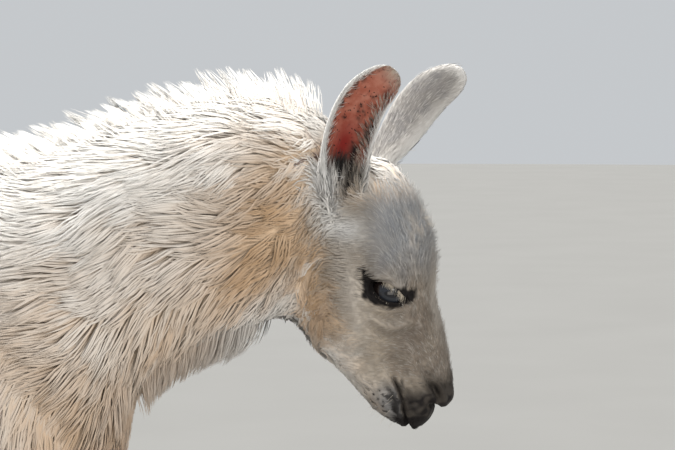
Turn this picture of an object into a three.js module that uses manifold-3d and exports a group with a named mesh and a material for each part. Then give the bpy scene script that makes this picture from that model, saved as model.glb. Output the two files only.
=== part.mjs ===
// A llama standing with its neck stretched forward and its head hanging, life size.
// Millimetres, +Z up, +X toward the nose, +Y toward the animal's left.
// The body is lofted whole, joined, and parted with thin cuts into the parts a person would name.
import * as THREE from 'three';
import { mergeVertices } from 'three/addons/utils/BufferGeometryUtils.js';
import Module from 'manifold-3d';

const wasm = await Module();
wasm.setup();

// ---------------------------------------------------------------- driving dimensions

const GAP = 0.3;                  // width of the cuts between neighbouring parts
const FAR = 3000;                 // half size of the blocks that the cuts are made with

// Stations from rump to poll: top line [x, z], under line [x, z], half width, out to the coat's tips.
const BODY = [
  { top: [-999, 962], low: [-998, 905], half: 42 },     // buttock
  { top: [-986, 1030], low: [-980, 800], half: 112 },   // tail head
  { top: [-940, 1070], low: [-938, 700], half: 168 },   // rump
  { top: [-800, 1096], low: [-800, 612], half: 224 },   // loin and flank
  { top: [-540, 1092], low: [-530, 574], half: 254 },   // barrel
  { top: [-300, 1098], low: [-260, 564], half: 250 },   // behind the shoulder
  { top: [-180, 1114], low: [-90, 572], half: 232 },    // withers and brisket
  { top: [-70, 1132], low: [75, 628], half: 198 },      // shoulder and breast
  { top: [30, 1146], low: [134, 745], half: 156 },      // root of the neck
  { top: [110, 1172], low: [158, 862], half: 128 },     // lower neck
  { top: [205, 1202], low: [222, 908], half: 111 },     // middle of the neck
  { top: [295, 1213], low: [300, 934], half: 102 },     // upper neck
  { top: [350, 1200], low: [338, 985], half: 84 },      // crest behind the ears
  { top: [378, 1148], low: [370, 1062], half: 36 },     // poll
];
const BODY_RINGS = 31;
const BODY_SIDES = 22;
const BODY_SQUARE = 2.3;          // 2 is an ellipse, more is squarer

// Stations from poll to lips, before the head is turned; lean widens the top (+) or the jaw (-).
const HEAD = [
  { top: [384, 1122], low: [336, 1046], half: 38, lean: 0 },      // inside the crest
  { top: [404, 1131], low: [320, 1008], half: 53, lean: 0 },      // poll
  { top: [430, 1127], low: [311, 978], half: 60, lean: 0.04 },    // crown
  { top: [453, 1098], low: [310, 953], half: 65, lean: 0.14 },    // forehead and throat
  { top: [467, 1066], low: [319, 939], half: 68, lean: 0.22 },    // brow and angle of the jaw
  { top: [475, 1032], low: [332, 929], half: 69, lean: 0.26 },    // above the eyes
  { top: [477, 1000], low: [346, 918], half: 65, lean: 0.2 },     // eyes and cheek
  { top: [479, 972], low: [359, 908], half: 56, lean: 0.08 },     // below the eyes
  { top: [485, 943], low: [374, 896], half: 46, lean: -0.04 },    // bridge of the nose
  { top: [491, 915], low: [389, 880], half: 39, lean: -0.12 },    // muzzle
  { top: [496, 892], low: [402, 864], half: 36, lean: -0.14 },    // corners of the mouth
  { top: [499, 873], low: [416, 849], half: 34, lean: -0.1 },     // nostrils
  { top: [496, 860], low: [432, 839], half: 30, lean: -0.06 },    // lips
  { top: [482, 850], low: [450, 835], half: 19, lean: 0 },        // tip
];
const HEAD_RINGS = 22;
const HEAD_SIDES = 22;
const HEAD_SQUARE = 2.25;
const HEAD_TURN = 10;             // degrees the face is turned to the animal's right
const HEAD_PIVOT = 400;           // x of the upright line through the poll that it turns on

const EYE = { x: 436, y: 50, z: 989, radius: 19 };
const EYE_OPENING = { long: 17, deep: 9, high: 11.5, slant: -28, outside: 2 };
const NOSTRIL = { x: 492, y: 17, z: 872, wide: 3.2, deep: 5.5, high: 13, slant: 20 };
const MOUTH = [[446, 815], [447, 840], [437, 870], [427, 897], [352, 968], [270, 968], [270, 815]];

// Where the sides of the head stand out or fall in, the reach of each, and how far.
const SWELLINGS = [
  { at: [436, 1006], reach: 20, out: 5 },       // brow over the eye
  { at: [436, 960], reach: 15, out: -4 },       // hollow under the eye
  { at: [372, 958], reach: 34, out: 4 },        // cheek
  { at: [470, 848], reach: 16, out: 3.5 },      // upper lip
  { at: [488, 878], reach: 13, out: 2.5 },      // wings of the nose
];
const SWELL_FROM = 30;            // full effect this far from the middle plane

// Ears: the middle line from root to tip, and where the opening faces at the root and at the tip.
const EARS = {
  right: {
    line: [[376, -42, 1070], [379, -66, 1110], [387, -82, 1154], [404, -92, 1197], [437, -95, 1227]],
    opening: [[0.4, -0.92, 0], [0.2, -0.97, 0.05]],
  },
  left: {
    line: [[394, 42, 1072], [411, 64, 1114], [436, 77, 1158], [471, 83, 1202], [518, 83, 1227]],
    opening: [[1, 0, 0], [0.1, 0.99, -0.1]],
  },
};
const EAR_HALF_WIDTHS = [19, 25, 28.5, 25, 7];
const EAR_CUP = [1, 0.86, 0.62, 0.5, 0.5];          // cup depth over half width
const EAR_THICK = [12, 7, 5.5, 5, 4];
const EAR_RINGS = 11;
const EAR_ARC = 6;                                  // steps across each side of an ear
const EAR_RIM = 0.6;                                // share of the blade's thickness at its rim
const EAR_CLEAR = 0.6;                              // room left round an ear where it lies along the head
const EAR_ROOT = 0.23;                              // share of the line that stays with the head

// Legs from top to fetlock: height z, middle x, y, half length along X, half width along Y.
const FORELEG = [
  [740, -95, 96, 104, 88], [650, -100, 110, 92, 76], [575, -101, 116, 73, 62], [500, -98, 117, 57, 49],
  [430, -94, 116, 47, 41], [370, -90, 116, 42, 38], [315, -94, 116, 34, 32], [240, -95, 115, 27, 26],
  [170, -95, 115, 27, 27], [125, -91, 115, 33, 33], [82, -82, 115, 35, 36], [44, -74, 115, 37, 38],
];
const HINDLEG = [
  [880, -852, 88, 110, 88], [770, -850, 112, 132, 104], [680, -846, 127, 116, 94], [600, -860, 132, 91, 74],
  [530, -882, 130, 70, 58], [460, -908, 127, 55, 46], [400, -927, 125, 49, 38], [345, -925, 124, 38, 32],
  [270, -915, 123, 29, 27], [185, -907, 122, 27, 27], [125, -901, 122, 33, 33], [82, -892, 122, 35, 36],
  [44, -884, 122, 37, 38],
];
const LEG_RINGS = 15;
const LEG_SIDES = 12;
const FORELEG_CUT = 552;          // height of the cut between foreleg and trunk
const HINDLEG_CUT = 560;
const FOOT_CUT = 104;             // height of the cut above each foot

// A toe: rings from heel to nail tip, as share of its length, half width and height.
const TOE_LENGTH = 124;
const TOE_HEEL = -56;             // heel, behind the foot's middle
const TOE_APART = 21;             // each toe's middle from the foot's middle line
const TOE_SPLAY = 5;              // degrees that each toe points outward
const TOE_RINGS = [
  [0, 12, 20], [0.08, 18, 42], [0.28, 22.5, 62], [0.55, 22.5, 54],
  [0.8, 17.5, 34], [0.95, 8.5, 19], [1, 3.5, 8],
];
const TOE_SIDES = 8;
const TOE_ROUND = 0.8;            // under 1 makes the back of a toe fuller
const TOE_FLANK = 0.3;            // share of a toe's height where its sides turn up
const SOLE = 0.78;                // half width of the sole over that of the toe
const NAIL_TOP = 0.7;             // where the nail starts on top of the toe and under it
const NAIL_LOW = 0.93;
const NAIL_LINE = 60;             // height at which the first of these is measured

// The tail hangs clear of the rump: middle x, z and half sizes.
const TAIL = [
  [-962, 1010, 26], [-1000, 1008, 32], [-1036, 985, 38], [-1050, 935, 42], [-1053, 870, 42],
  [-1050, 805, 36], [-1045, 760, 22], [-1043, 742, 8],
];
const TAIL_WIDE = 1.15;           // half width and half depth over those sizes
const TAIL_DEEP = 0.8;
const TAIL_RINGS = 12;
const TAIL_SIDES = 12;
const TAIL_CUT = -1003;

const NECK_CUT = { top: [-92, 1200], low: [176, 720] };     // trunk from neck
const HEAD_CUT = { top: [366, 1260], low: [306, 900] };     // neck from head

const COLOURS = {
  wool: { color: 0xe9e0d0, roughness: 0.95, metalness: 0 },
  face: { color: 0xd8cec0, roughness: 0.85, metalness: 0 },
  eye: { color: 0x1c2026, roughness: 0.15, metalness: 0 },
  horn: { color: 0x4b4038, roughness: 0.55, metalness: 0 },
};

// ---------------------------------------------------------------- solids from loops of points

function toSolid(geometry) {
  const bare = geometry.clone();
  bare.deleteAttribute('normal');
  bare.deleteAttribute('uv');
  const merged = mergeVertices(bare, 1e-4);
  return new wasm.Manifold(new wasm.Mesh({
    numProp: 3,
    vertProperties: new Float32Array(merged.attributes.position.array),
    triVerts: new Uint32Array(merged.index.array),
  }));
}

function toGeometry(solid) {
  const { vertProperties, triVerts } = solid.getMesh();
  const geometry = new THREE.BufferGeometry();
  geometry.setAttribute('position', new THREE.BufferAttribute(vertProperties, 3));
  geometry.setIndex(new THREE.BufferAttribute(triVerts, 1));
  geometry.computeVertexNormals();
  return geometry;
}

// Skins rings of equal count and closes both ends on their middles.
function loft(rings) {
  const sides = rings[0].length;
  const points = rings.flat();
  const faces = [];
  for (let r = 0; r + 1 < rings.length; r++) {
    for (let k = 0; k < sides; k++) {
      const a = r * sides + k;
      const b = r * sides + (k + 1) % sides;
      faces.push(a, b, b + sides, a, b + sides, a + sides);
    }
  }
  for (const [ring, flip] of [[0, true], [rings.length - 1, false]]) {
    const middle = points.length;
    const sum = rings[ring].reduce((s, p) => s.add(p), new THREE.Vector3());
    points.push(sum.divideScalar(sides));
    for (let k = 0; k < sides; k++) {
      const a = ring * sides + k;
      const b = ring * sides + (k + 1) % sides;
      faces.push(...(flip ? [b, a, middle] : [a, b, middle]));
    }
  }
  const geometry = new THREE.BufferGeometry().setFromPoints(points);
  geometry.setIndex(signedVolume(points, faces) > 0 ? faces : faces.reverse());
  return toSolid(geometry);
}

function signedVolume(points, faces) {
  let volume = 0;
  for (let i = 0; i < faces.length; i += 3) {
    const [a, b, c] = [points[faces[i]], points[faces[i + 1]], points[faces[i + 2]]];
    volume += a.dot(new THREE.Vector3().crossVectors(b, c)) / 6;
  }
  return volume;
}

// Reads a row of numbers at share t of the way along a table, smoothly.
function along(rows, t) {
  const last = rows.length - 1;
  const at = Math.min(t * last, last - 1e-9);
  const i = Math.floor(at);
  const row = (k) => rows[Math.max(0, Math.min(last, k))];
  return rows[0].map((_, c) => {
    const [p0, p1, p2, p3] = [row(i - 1)[c], row(i)[c], row(i + 1)[c], row(i + 2)[c]];
    const w = at - i;
    const slope = 0.5 * (p2 - p0) * w;
    const bend = (p0 - 2.5 * p1 + 2 * p2 - 0.5 * p3) * w * w;
    return p1 + slope + bend + (1.5 * (p1 - p2) + 0.5 * (p3 - p0)) * w ** 3;
  });
}

const power = (value, exponent) => Math.sign(value) * Math.abs(value) ** exponent;

// A rounded section between a top and a low point in the middle plane.
function section(row, sides, squareness) {
  const [topX, topZ, lowX, lowZ, half, lean] = row;
  const ring = [];
  for (let k = 0; k < sides; k++) {
    const angle = (2 * Math.PI * k) / sides;
    const up = power(Math.cos(angle), 2 / squareness);
    const out = power(Math.sin(angle), 2 / squareness) * (1 + lean * up);
    ring.push(new THREE.Vector3(
      (topX + lowX) / 2 + ((topX - lowX) / 2) * up,
      half * out,
      (topZ + lowZ) / 2 + ((topZ - lowZ) / 2) * up,
    ));
  }
  return ring;
}

function bodyAlong(stations, rings, sides, squareness, shape = (p) => p) {
  const rows = stations.map((s) => [...s.top, ...s.low, s.half, s.lean ?? 0]);
  const loops = [];
  for (let r = 0; r <= rings; r++) {
    loops.push(section(along(rows, r / rings), sides, squareness).map(shape));
  }
  return loft(loops);
}

// ---------------------------------------------------------------- cutting

// Everything on one side of a line in the middle plane, from the line's low end to its top end.
function block(low, top, side, inset) {
  const direction = new THREE.Vector2(top[0] - low[0], top[1] - low[1]).normalize();
  const box = new THREE.BoxGeometry(FAR, FAR, FAR);
  box.translate(side * (FAR / 2 + inset), 0, 0);
  box.rotateY(Math.atan2(direction.x, direction.y));
  box.translate((low[0] + top[0]) / 2, 0, (low[1] + top[1]) / 2);
  return toSolid(box);
}

function boxBetween(low, high) {
  const box = new THREE.BoxGeometry(high[0] - low[0], high[1] - low[1], high[2] - low[2]);
  box.translate((low[0] + high[0]) / 2, (low[1] + high[1]) / 2, (low[2] + high[2]) / 2);
  return toSolid(box);
}

// A prism across the body from an outline in the middle plane, grown by an inset.
function prism(outline, grow) {
  const shape = new THREE.Shape(outline.map(([x, z]) => new THREE.Vector2(x + grow, z + grow)));
  const geometry = new THREE.ExtrudeGeometry(shape, { depth: FAR, bevelEnabled: false });
  geometry.translate(0, 0, -FAR / 2);
  geometry.rotateX(Math.PI / 2);
  return toSolid(geometry);
}

// ---------------------------------------------------------------- the parts of the body

// Pushes a point of the head sideways by the swellings near it, on both sides alike.
function headShape(point) {
  for (const { at: [x, z], reach, out } of SWELLINGS) {
    const distance = Math.hypot(point.x - x, point.z - z) / reach;
    const share = Math.min(1, Math.abs(point.y) / SWELL_FROM);
    point.y += Math.sign(point.y) * out * share * Math.exp(-distance * distance);
  }
  return point;
}

function turnHead(solid) {
  return solid.translate([-HEAD_PIVOT, 0, 0]).rotate([0, 0, -HEAD_TURN]).translate([HEAD_PIVOT, 0, 0]);
}

function ellipsoid([x, y, z], [long, wide, high], slant) {
  const ball = new THREE.SphereGeometry(1, 10, 6);
  ball.scale(long, wide, high);
  ball.rotateY(THREE.MathUtils.degToRad(slant));
  ball.translate(x, y, z);
  return toSolid(ball);
}

function eyeball(side, grow) {
  const ball = new THREE.SphereGeometry(EYE.radius + grow, 12, 8);
  ball.rotateX(Math.PI / 2);
  ball.translate(EYE.x, side * EYE.y, EYE.z);
  return toSolid(ball);
}

function headSolid() {
  let head = bodyAlong(HEAD, HEAD_RINGS, HEAD_SIDES, HEAD_SQUARE, headShape);
  for (const side of [-1, 1]) {
    const opening = [EYE.x, side * (EYE.y + EYE.radius + EYE_OPENING.outside), EYE.z];
    const { long, deep, high, slant } = EYE_OPENING;
    head = head.subtract(ellipsoid(opening, [long, deep, high], slant));
    head = head.subtract(eyeball(side, GAP));
    const nostril = [NOSTRIL.x, side * NOSTRIL.y, NOSTRIL.z];
    head = head.subtract(ellipsoid(nostril, [NOSTRIL.wide, NOSTRIL.deep, NOSTRIL.high], NOSTRIL.slant));
  }
  return turnHead(head);
}

// An ear is a cupped blade: an outer arc and an inner one, narrowing to a tip that curls in.
function earSolid({ line, opening }, grow = 0) {
  const curve = new THREE.CatmullRomCurve3(line.map((p) => new THREE.Vector3(...p)));
  const [faceRoot, faceTip] = opening.map((p) => new THREE.Vector3(...p));
  const rows = EAR_HALF_WIDTHS.map((w, i) => [w, EAR_CUP[i], EAR_THICK[i]]);
  const rings = [];
  for (let r = 0; r <= EAR_RINGS; r++) {
    const t = r / EAR_RINGS;
    const [inside, cup, blade] = along(rows, t);
    const half = inside + grow;
    const thick = blade + 2 * grow;
    const axis = curve.getTangent(t);
    const face = faceRoot.clone().lerp(faceTip, t);
    const across = new THREE.Vector3().crossVectors(axis, face).normalize();
    const out = new THREE.Vector3().crossVectors(across, axis).normalize();
    const middle = curve.getPoint(t);
    const arc = (w, depth, k) => {
      const angle = (Math.PI * k) / EAR_ARC;
      return middle.clone()
        .addScaledVector(across, w * Math.cos(angle))
        .addScaledVector(out, (0.5 - Math.sin(angle)) * depth + (1 - Math.sin(angle)) * 2 * grow);
    };
    const ring = [];
    for (let k = 0; k <= EAR_ARC; k++) ring.push(arc(half, half * cup, k));
    for (let k = EAR_ARC - 1; k > 0; k--) {
      const inner = arc(half - thick * EAR_RIM, half * cup, k);
      ring.push(inner.addScaledVector(out, thick * Math.sin((Math.PI * k) / EAR_ARC)));
    }
    rings.push(ring);
  }
  return loft(rings);
}

// Everything on one side of the plane across an ear's root: 1 is the ear, -1 its stub on the head.
function earHalf({ line }, side, inset) {
  const curve = new THREE.CatmullRomCurve3(line.map((p) => new THREE.Vector3(...p)));
  const box = new THREE.BoxGeometry(FAR, FAR, FAR);
  box.translate(0, 0, side * (FAR / 2 + inset));
  const turn = new THREE.Quaternion().setFromUnitVectors(
    new THREE.Vector3(0, 0, 1),
    curve.getTangent(EAR_ROOT),
  );
  box.applyQuaternion(turn);
  box.translate(...curve.getPoint(EAR_ROOT));
  return toSolid(box);
}

function legSolid(rows, side) {
  const rings = [];
  for (let r = 0; r <= LEG_RINGS; r++) {
    const [z, x, y, long, wide] = along(rows, r / LEG_RINGS);
    const ring = [];
    for (let k = 0; k < LEG_SIDES; k++) {
      const angle = (2 * Math.PI * k) / LEG_SIDES;
      ring.push(new THREE.Vector3(x + long * Math.cos(angle), side * y + wide * Math.sin(angle), z));
    }
    rings.push(ring);
  }
  return loft(rings);
}

// A toe has a flat sole on the floor and a rounded back.
function toeSolid(x, y, splay) {
  const rings = TOE_RINGS.map(([share, half, high]) => {
    const ring = [];
    for (let k = 0; k <= TOE_SIDES - 3; k++) {
      const angle = (Math.PI * k) / (TOE_SIDES - 3);
      ring.push(new THREE.Vector3(
        TOE_HEEL + share * TOE_LENGTH,
        half * power(Math.cos(angle), TOE_ROUND),
        high * (TOE_FLANK + (1 - TOE_FLANK) * Math.sin(angle)),
      ));
    }
    ring.push(new THREE.Vector3(TOE_HEEL + share * TOE_LENGTH, -SOLE * half, 0));
    ring.push(new THREE.Vector3(TOE_HEEL + share * TOE_LENGTH, SOLE * half, 0));
    return ring;
  });
  return loft(rings).rotate([0, 0, splay]).translate([x, y, 0]);
}

function nailSide(x, y, splay, side, inset) {
  const top = [TOE_HEEL + NAIL_TOP * TOE_LENGTH, NAIL_LINE];
  const low = [TOE_HEEL + NAIL_LOW * TOE_LENGTH, 0];
  return block(low, top, side, inset).rotate([0, 0, splay]).translate([x, y, 0]);
}

function tailSolid() {
  const rings = [];
  for (let r = 0; r <= TAIL_RINGS; r++) {
    const t = r / TAIL_RINGS;
    const [x, z, half] = along(TAIL, t);
    const ahead = along(TAIL, Math.min(1, t + 0.01));
    const behind = along(TAIL, Math.max(0, t - 0.01));
    const axis = new THREE.Vector3(ahead[0] - behind[0], 0, ahead[1] - behind[1]).normalize();
    const across = new THREE.Vector3(0, 1, 0).cross(axis);
    const ring = [];
    for (let k = 0; k < TAIL_SIDES; k++) {
      const angle = (2 * Math.PI * k) / TAIL_SIDES;
      ring.push(new THREE.Vector3(x, TAIL_WIDE * half * Math.sin(angle), z)
        .addScaledVector(across, TAIL_DEEP * half * Math.cos(angle)));
    }
    rings.push(ring);
  }
  return loft(rings);
}

// ---------------------------------------------------------------- joining, parting and naming

const llama = new THREE.Group();

function addNode(name, solid, colour) {
  const material = new THREE.MeshStandardMaterial(COLOURS[colour]);
  const mesh = new THREE.Mesh(toGeometry(solid), material);
  mesh.name = name;
  llama.add(mesh);
}

const SIDES = { right: -1, left: 1 };
const LEGS = {
  fore: { rows: FORELEG, cut: FORELEG_CUT, from: -400, to: 300 },
  hind: { rows: HINDLEG, cut: HINDLEG_CUT, from: -1400, to: -500 },
};

let body = bodyAlong(BODY, BODY_RINGS, BODY_SIDES, BODY_SQUARE);
for (const side of Object.values(SIDES)) {
  for (const leg of Object.values(LEGS)) body = body.add(legSolid(leg.rows, side));
}
body = body.add(tailSolid());

let whole = body.add(headSolid());
for (const [sideName, side] of Object.entries(SIDES)) {
  const ear = earSolid(EARS[sideName]);
  const aboveRoot = earHalf(EARS[sideName], 1, GAP / 2);
  whole = whole.subtract(earSolid(EARS[sideName], EAR_CLEAR).intersect(aboveRoot));
  whole = whole.add(ear.intersect(earHalf(EARS[sideName], -1, GAP / 2)));
  addNode(`ear_${sideName}`, ear.intersect(aboveRoot), 'face');
  addNode(`eye_${sideName}`, turnHead(eyeball(side, 0)), 'eye');
}

const beforeHead = block(HEAD_CUT.low, HEAD_CUT.top, -1, GAP / 2);
const inFront = block(HEAD_CUT.low, HEAD_CUT.top, 1, GAP / 2);
const faceWhole = whole.intersect(inFront);
addNode('head', faceWhole.subtract(turnHead(prism(MOUTH, GAP))), 'face');
addNode('lower_jaw', faceWhole.intersect(turnHead(prism(MOUTH, 0))), 'face');

const neckSide = block(NECK_CUT.low, NECK_CUT.top, 1, GAP / 2);
const trunkSide = block(NECK_CUT.low, NECK_CUT.top, -1, GAP / 2);
addNode('neck', whole.intersect(beforeHead).intersect(neckSide), 'wool');

let trunk = whole.intersect(trunkSide);
for (const [legName, leg] of Object.entries(LEGS)) {
  for (const [sideName, side] of Object.entries(SIDES)) {
    const inner = side > 0 ? [leg.from, 0] : [leg.from, -FAR];
    const outer = side > 0 ? [leg.to, FAR] : [leg.to, 0];
    const below = (z, depth) => boxBetween([...inner, z - depth], [...outer, z]);
    const limb = trunk.intersect(below(leg.cut - GAP / 2, leg.cut - GAP - FOOT_CUT));
    addNode(`${legName}leg_${sideName}`, limb, 'wool');

    const [, ankleX, ankleY] = leg.rows[leg.rows.length - 1];
    let foot = trunk.intersect(below(FOOT_CUT - GAP / 2, FOOT_CUT));
    const toes = [-1, 1].map((toe) => ({
      name: toe === side ? 'outer' : 'inner',
      place: [ankleX, side * ankleY + toe * TOE_APART, toe * TOE_SPLAY],
    }));
    for (const { name, place } of toes) {
      const toe = toeSolid(...place);
      foot = foot.add(toe.intersect(nailSide(...place, -1, GAP / 2)));
      addNode(`nail_${legName}_${sideName}_${name}`, toe.intersect(nailSide(...place, 1, GAP / 2)), 'horn');
    }
    addNode(`${legName}foot_${sideName}`, foot, 'face');
    trunk = trunk.subtract(below(leg.cut + GAP / 2, FAR));
  }
}

const tailBlock = (inset) => boxBetween([-FAR, -FAR, -FAR], [TAIL_CUT - inset, FAR, FAR]);
addNode('tail', trunk.intersect(tailBlock(GAP / 2)), 'wool');
addNode('trunk', trunk.subtract(tailBlock(-GAP / 2)), 'wool');

// The origin is on the floor, under the middle of the animal's length and width.
const middle = new THREE.Box3().setFromObject(llama).getCenter(new THREE.Vector3());
llama.position.set(-middle.x, -middle.y, 0);

export default llama;
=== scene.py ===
"""A life-size llama with its head lowered: one skin, a coat of modelled locks, eyes, lashes and nails."""
import math
from collections import namedtuple
from contextlib import contextmanager

import bmesh
import bpy
import numpy as np
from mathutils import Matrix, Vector
from mathutils.bvhtree import BVHTree
from mathutils.kdtree import KDTree


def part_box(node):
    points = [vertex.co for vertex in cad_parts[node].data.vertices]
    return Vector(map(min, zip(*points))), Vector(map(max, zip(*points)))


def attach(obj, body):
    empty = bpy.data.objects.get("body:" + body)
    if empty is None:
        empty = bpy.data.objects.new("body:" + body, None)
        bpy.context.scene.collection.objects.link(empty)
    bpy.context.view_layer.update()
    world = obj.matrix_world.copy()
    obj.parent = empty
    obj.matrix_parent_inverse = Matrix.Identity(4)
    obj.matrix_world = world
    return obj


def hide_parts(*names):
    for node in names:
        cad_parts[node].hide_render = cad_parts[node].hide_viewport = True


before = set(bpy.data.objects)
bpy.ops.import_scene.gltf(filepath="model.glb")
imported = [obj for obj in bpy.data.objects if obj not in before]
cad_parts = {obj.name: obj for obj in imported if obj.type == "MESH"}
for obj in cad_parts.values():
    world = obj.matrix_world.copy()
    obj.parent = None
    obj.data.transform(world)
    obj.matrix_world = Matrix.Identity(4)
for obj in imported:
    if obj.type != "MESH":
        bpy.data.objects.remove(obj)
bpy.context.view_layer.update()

bl_info = {
    "name": "Llama",
    "version": (1, 0, 0),
    "blender": (4, 5, 0),
    "location": "View3D > Sidebar > Llama",
    "description": "Skin, wool coat, eyes and nails of a standing llama",
    "category": "Object",
}

MM = 0.001
UP = np.array([0.0, 0.0, 1.0])


# ---------------------------------------------------------------- the head's own axes

def middle_of(node):
    low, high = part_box(node)
    return np.array([(a + b) / 2 for a, b in zip(low, high)])


SIDES = {"right": -1, "left": 1}
EYE = {side: middle_of(f"eye_{side}") for side in SIDES}
LEFTWARD = (EYE["left"] - EYE["right"]) / np.linalg.norm(EYE["left"] - EYE["right"])
FORWARD = np.cross(LEFTWARD, UP)
ORIGIN_SHIFT = (2.0, -5.0)        # millimetres ahead of and up from the middle between the eyes
HEAD_ORIGIN = (EYE["right"] + EYE["left"]) / 2 + MM * (ORIGIN_SHIFT[0] * FORWARD + ORIGIN_SHIFT[1] * UP)
EYE_RADIUS = (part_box("eye_right")[1][2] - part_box("eye_right")[0][2]) / 2


def to_head(points):
    """Millimetres forward, left and up from the head's own origin, between the eyes."""
    away = np.asarray(points) - HEAD_ORIGIN
    return np.stack([away @ FORWARD, away @ LEFTWARD, away @ UP], axis=-1) / MM


def unit(vectors):
    length = np.linalg.norm(vectors, axis=-1, keepdims=True)
    return vectors / np.maximum(length, 1e-9)


def fade(values, start, end):
    """0 at start, 1 at end, smooth between them; start may be the larger."""
    share = np.clip((np.asarray(values) - start) / (end - start), 0.0, 1.0)
    return share * share * (3 - 2 * share)


def bump_at(distance, radius):
    """1 at no distance, falling to nothing past about twice the radius."""
    return np.exp(-(distance / radius) ** 2)


# ---------------------------------------------------------------- ears
# Each ear's middle line from root to tip, in millimetres from the head's origin along X, Y and Z, and
# where its opening faces at the root and at the tip.
EARS = {
    "right": {
        "line": [(-60, -24, 62), (-63, -56, 118), (-57, -74, 168), (-38, -85, 211), (-4, -88, 240)],
        "opening": [(0.4, -0.92, 0.0), (0.2, -0.97, 0.05)],
    },
    "left": {
        "line": [(-50, 32, 62), (-30, 66, 118), (-3, 83, 168), (34, 90, 214), (77, 90, 240)],
        "opening": [(1.0, 0.0, 0.0), (0.1, 0.99, -0.1)],
    },
}
# From root to tip: half width in millimetres, depth of the cup as a share of it, and thickness.
EAR_HALF_WIDTHS = [15, 22.5, 27, 25, 16]
EAR_CUP = [1, 0.86, 0.66, 0.52, 0.4]
EAR_THICKNESS = [8, 5.0, 3.0, 2.5, 2.0]
EAR_RINGS = 88                    # rings along an ear
EAR_ARC = 32                      # steps from one edge of its cup to the other
EAR_TIP_START = 0.84              # share of the length at which the blade starts to round off


def along(rows, shares):
    """Smooth values between the rows of a table, at shares 0 to 1 of its length."""
    rows = np.asarray(rows, float)
    rows = rows[:, None] if rows.ndim == 1 else rows
    last = len(rows) - 1
    at = np.minimum(np.asarray(shares) * last, last - 1e-9)
    i = np.floor(at).astype(int)
    w = (at - i)[..., None]
    p0, p1, p2, p3 = (rows[np.clip(i + k, 0, last)] for k in (-1, 0, 1, 2))
    bend = (p0 - 2.5 * p1 + 2 * p2 - 0.5 * p3) * w ** 2
    return p1 + 0.5 * (p2 - p0) * w + bend + (1.5 * (p1 - p2) + 0.5 * (p3 - p0)) * w ** 3


def ear_axes(side, shares):
    """Middle, direction to the tip, across and opening direction at shares of an ear's length."""
    line = np.array(EARS[side]["line"]) * MM + HEAD_ORIGIN
    middle = along(line, shares)
    axis = unit(along(line, np.minimum(shares + 0.01, 1)) - along(line, np.maximum(shares - 0.01, 0)))
    face = along(np.array(EARS[side]["opening"]), shares)
    across = unit(np.cross(axis, face))
    return middle, axis, across, np.cross(across, axis)


def ear_mesh(side):
    """A cupped blade with a rolled rim, closed at both ends."""
    shares = np.linspace(0, 1, EAR_RINGS)
    middle, _, across, out = ear_axes(side, shares)
    tip = np.clip(1 - ((shares - EAR_TIP_START) / 0.16).clip(0) ** 2.4, 0.01, 1) ** 0.5
    half = along(EAR_HALF_WIDTHS, shares)[:, 0] * MM * tip
    cup = along(EAR_CUP, shares)[:, 0] * half
    thick = along(EAR_THICKNESS, shares)[:, 0] * MM * np.minimum(1, tip + 0.3)
    angle = np.linspace(0, math.pi, EAR_ARC + 1)
    rim = 1 - 0.55 * np.exp(-((np.minimum(angle, math.pi - angle)) / 0.22) ** 2)
    outer = [(np.cos(a), 0.5 - np.sin(a), 0.0) for a in angle]
    inner = [(np.cos(a), 0.5 - np.sin(a), r) for a, r in zip(angle[::-1], rim[::-1])]
    rings = []
    for c, s, inward in outer + inner:
        wall = inward * thick
        normal_across, normal_out = c / max(math.hypot(c, 0.6), 1e-6), 1 - abs(c) ** 3
        ring = middle + across * (half * c - wall * normal_across)[:, None]
        rings.append(ring + out * (cup * s + wall * normal_out)[:, None])
    points = np.stack(rings, axis=1).reshape(-1, 3)
    count = len(outer) + len(inner)
    faces = []
    for r in range(EAR_RINGS - 1):
        for k in range(count):
            a, b = r * count + k, r * count + (k + 1) % count
            faces.append((a, b, b + count, a + count))
    faces.append(tuple(range(count))[::-1])
    faces.append(tuple(range((EAR_RINGS - 1) * count, EAR_RINGS * count)))
    return points, faces


# ---------------------------------------------------------------- meshes and their neighbours

def new_object(name, mesh):
    piece = bpy.data.objects.new(name, mesh)
    bpy.context.scene.collection.objects.link(piece)
    return piece


def mesh_from(name, points, faces):
    mesh = bpy.data.meshes.new(name)
    mesh.from_pydata([tuple(p) for p in points], [], faces)
    mesh.update()
    return mesh


@contextmanager
def opened(mesh):
    """The mesh as a bmesh to work on, written back at the end."""
    work = bmesh.new()
    work.from_mesh(mesh)
    yield work
    work.to_mesh(mesh)
    work.free()


def tidy_normals(mesh, merge=1e-6):
    """Merges doubles and turns the faces outwards."""
    with opened(mesh) as work:
        if merge:
            bmesh.ops.remove_doubles(work, verts=work.verts, dist=merge)
        bmesh.ops.recalc_face_normals(work, faces=work.faces)


def read(mesh_items, field, width, kind=np.float32):
    """One field of a mesh's items as an array of rows."""
    values = np.empty(len(mesh_items) * width, kind)
    mesh_items.foreach_get(field, values)
    return values.reshape(-1, width)


def write_attribute(mesh, name, values):
    layer = mesh.attributes.new(name, "FLOAT", "POINT")
    layer.data.foreach_set("value", np.asarray(values, np.float32))


def shade_smooth(mesh):
    mesh.polygons.foreach_set("use_smooth", np.ones(len(mesh.polygons), bool))


def evaluated(piece):
    """A plain mesh of a piece with its modifiers applied; the piece itself is removed."""
    depsgraph = bpy.context.evaluated_depsgraph_get()
    mesh = bpy.data.meshes.new_from_object(piece.evaluated_get(depsgraph))
    bpy.data.objects.remove(piece)
    return mesh


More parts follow.
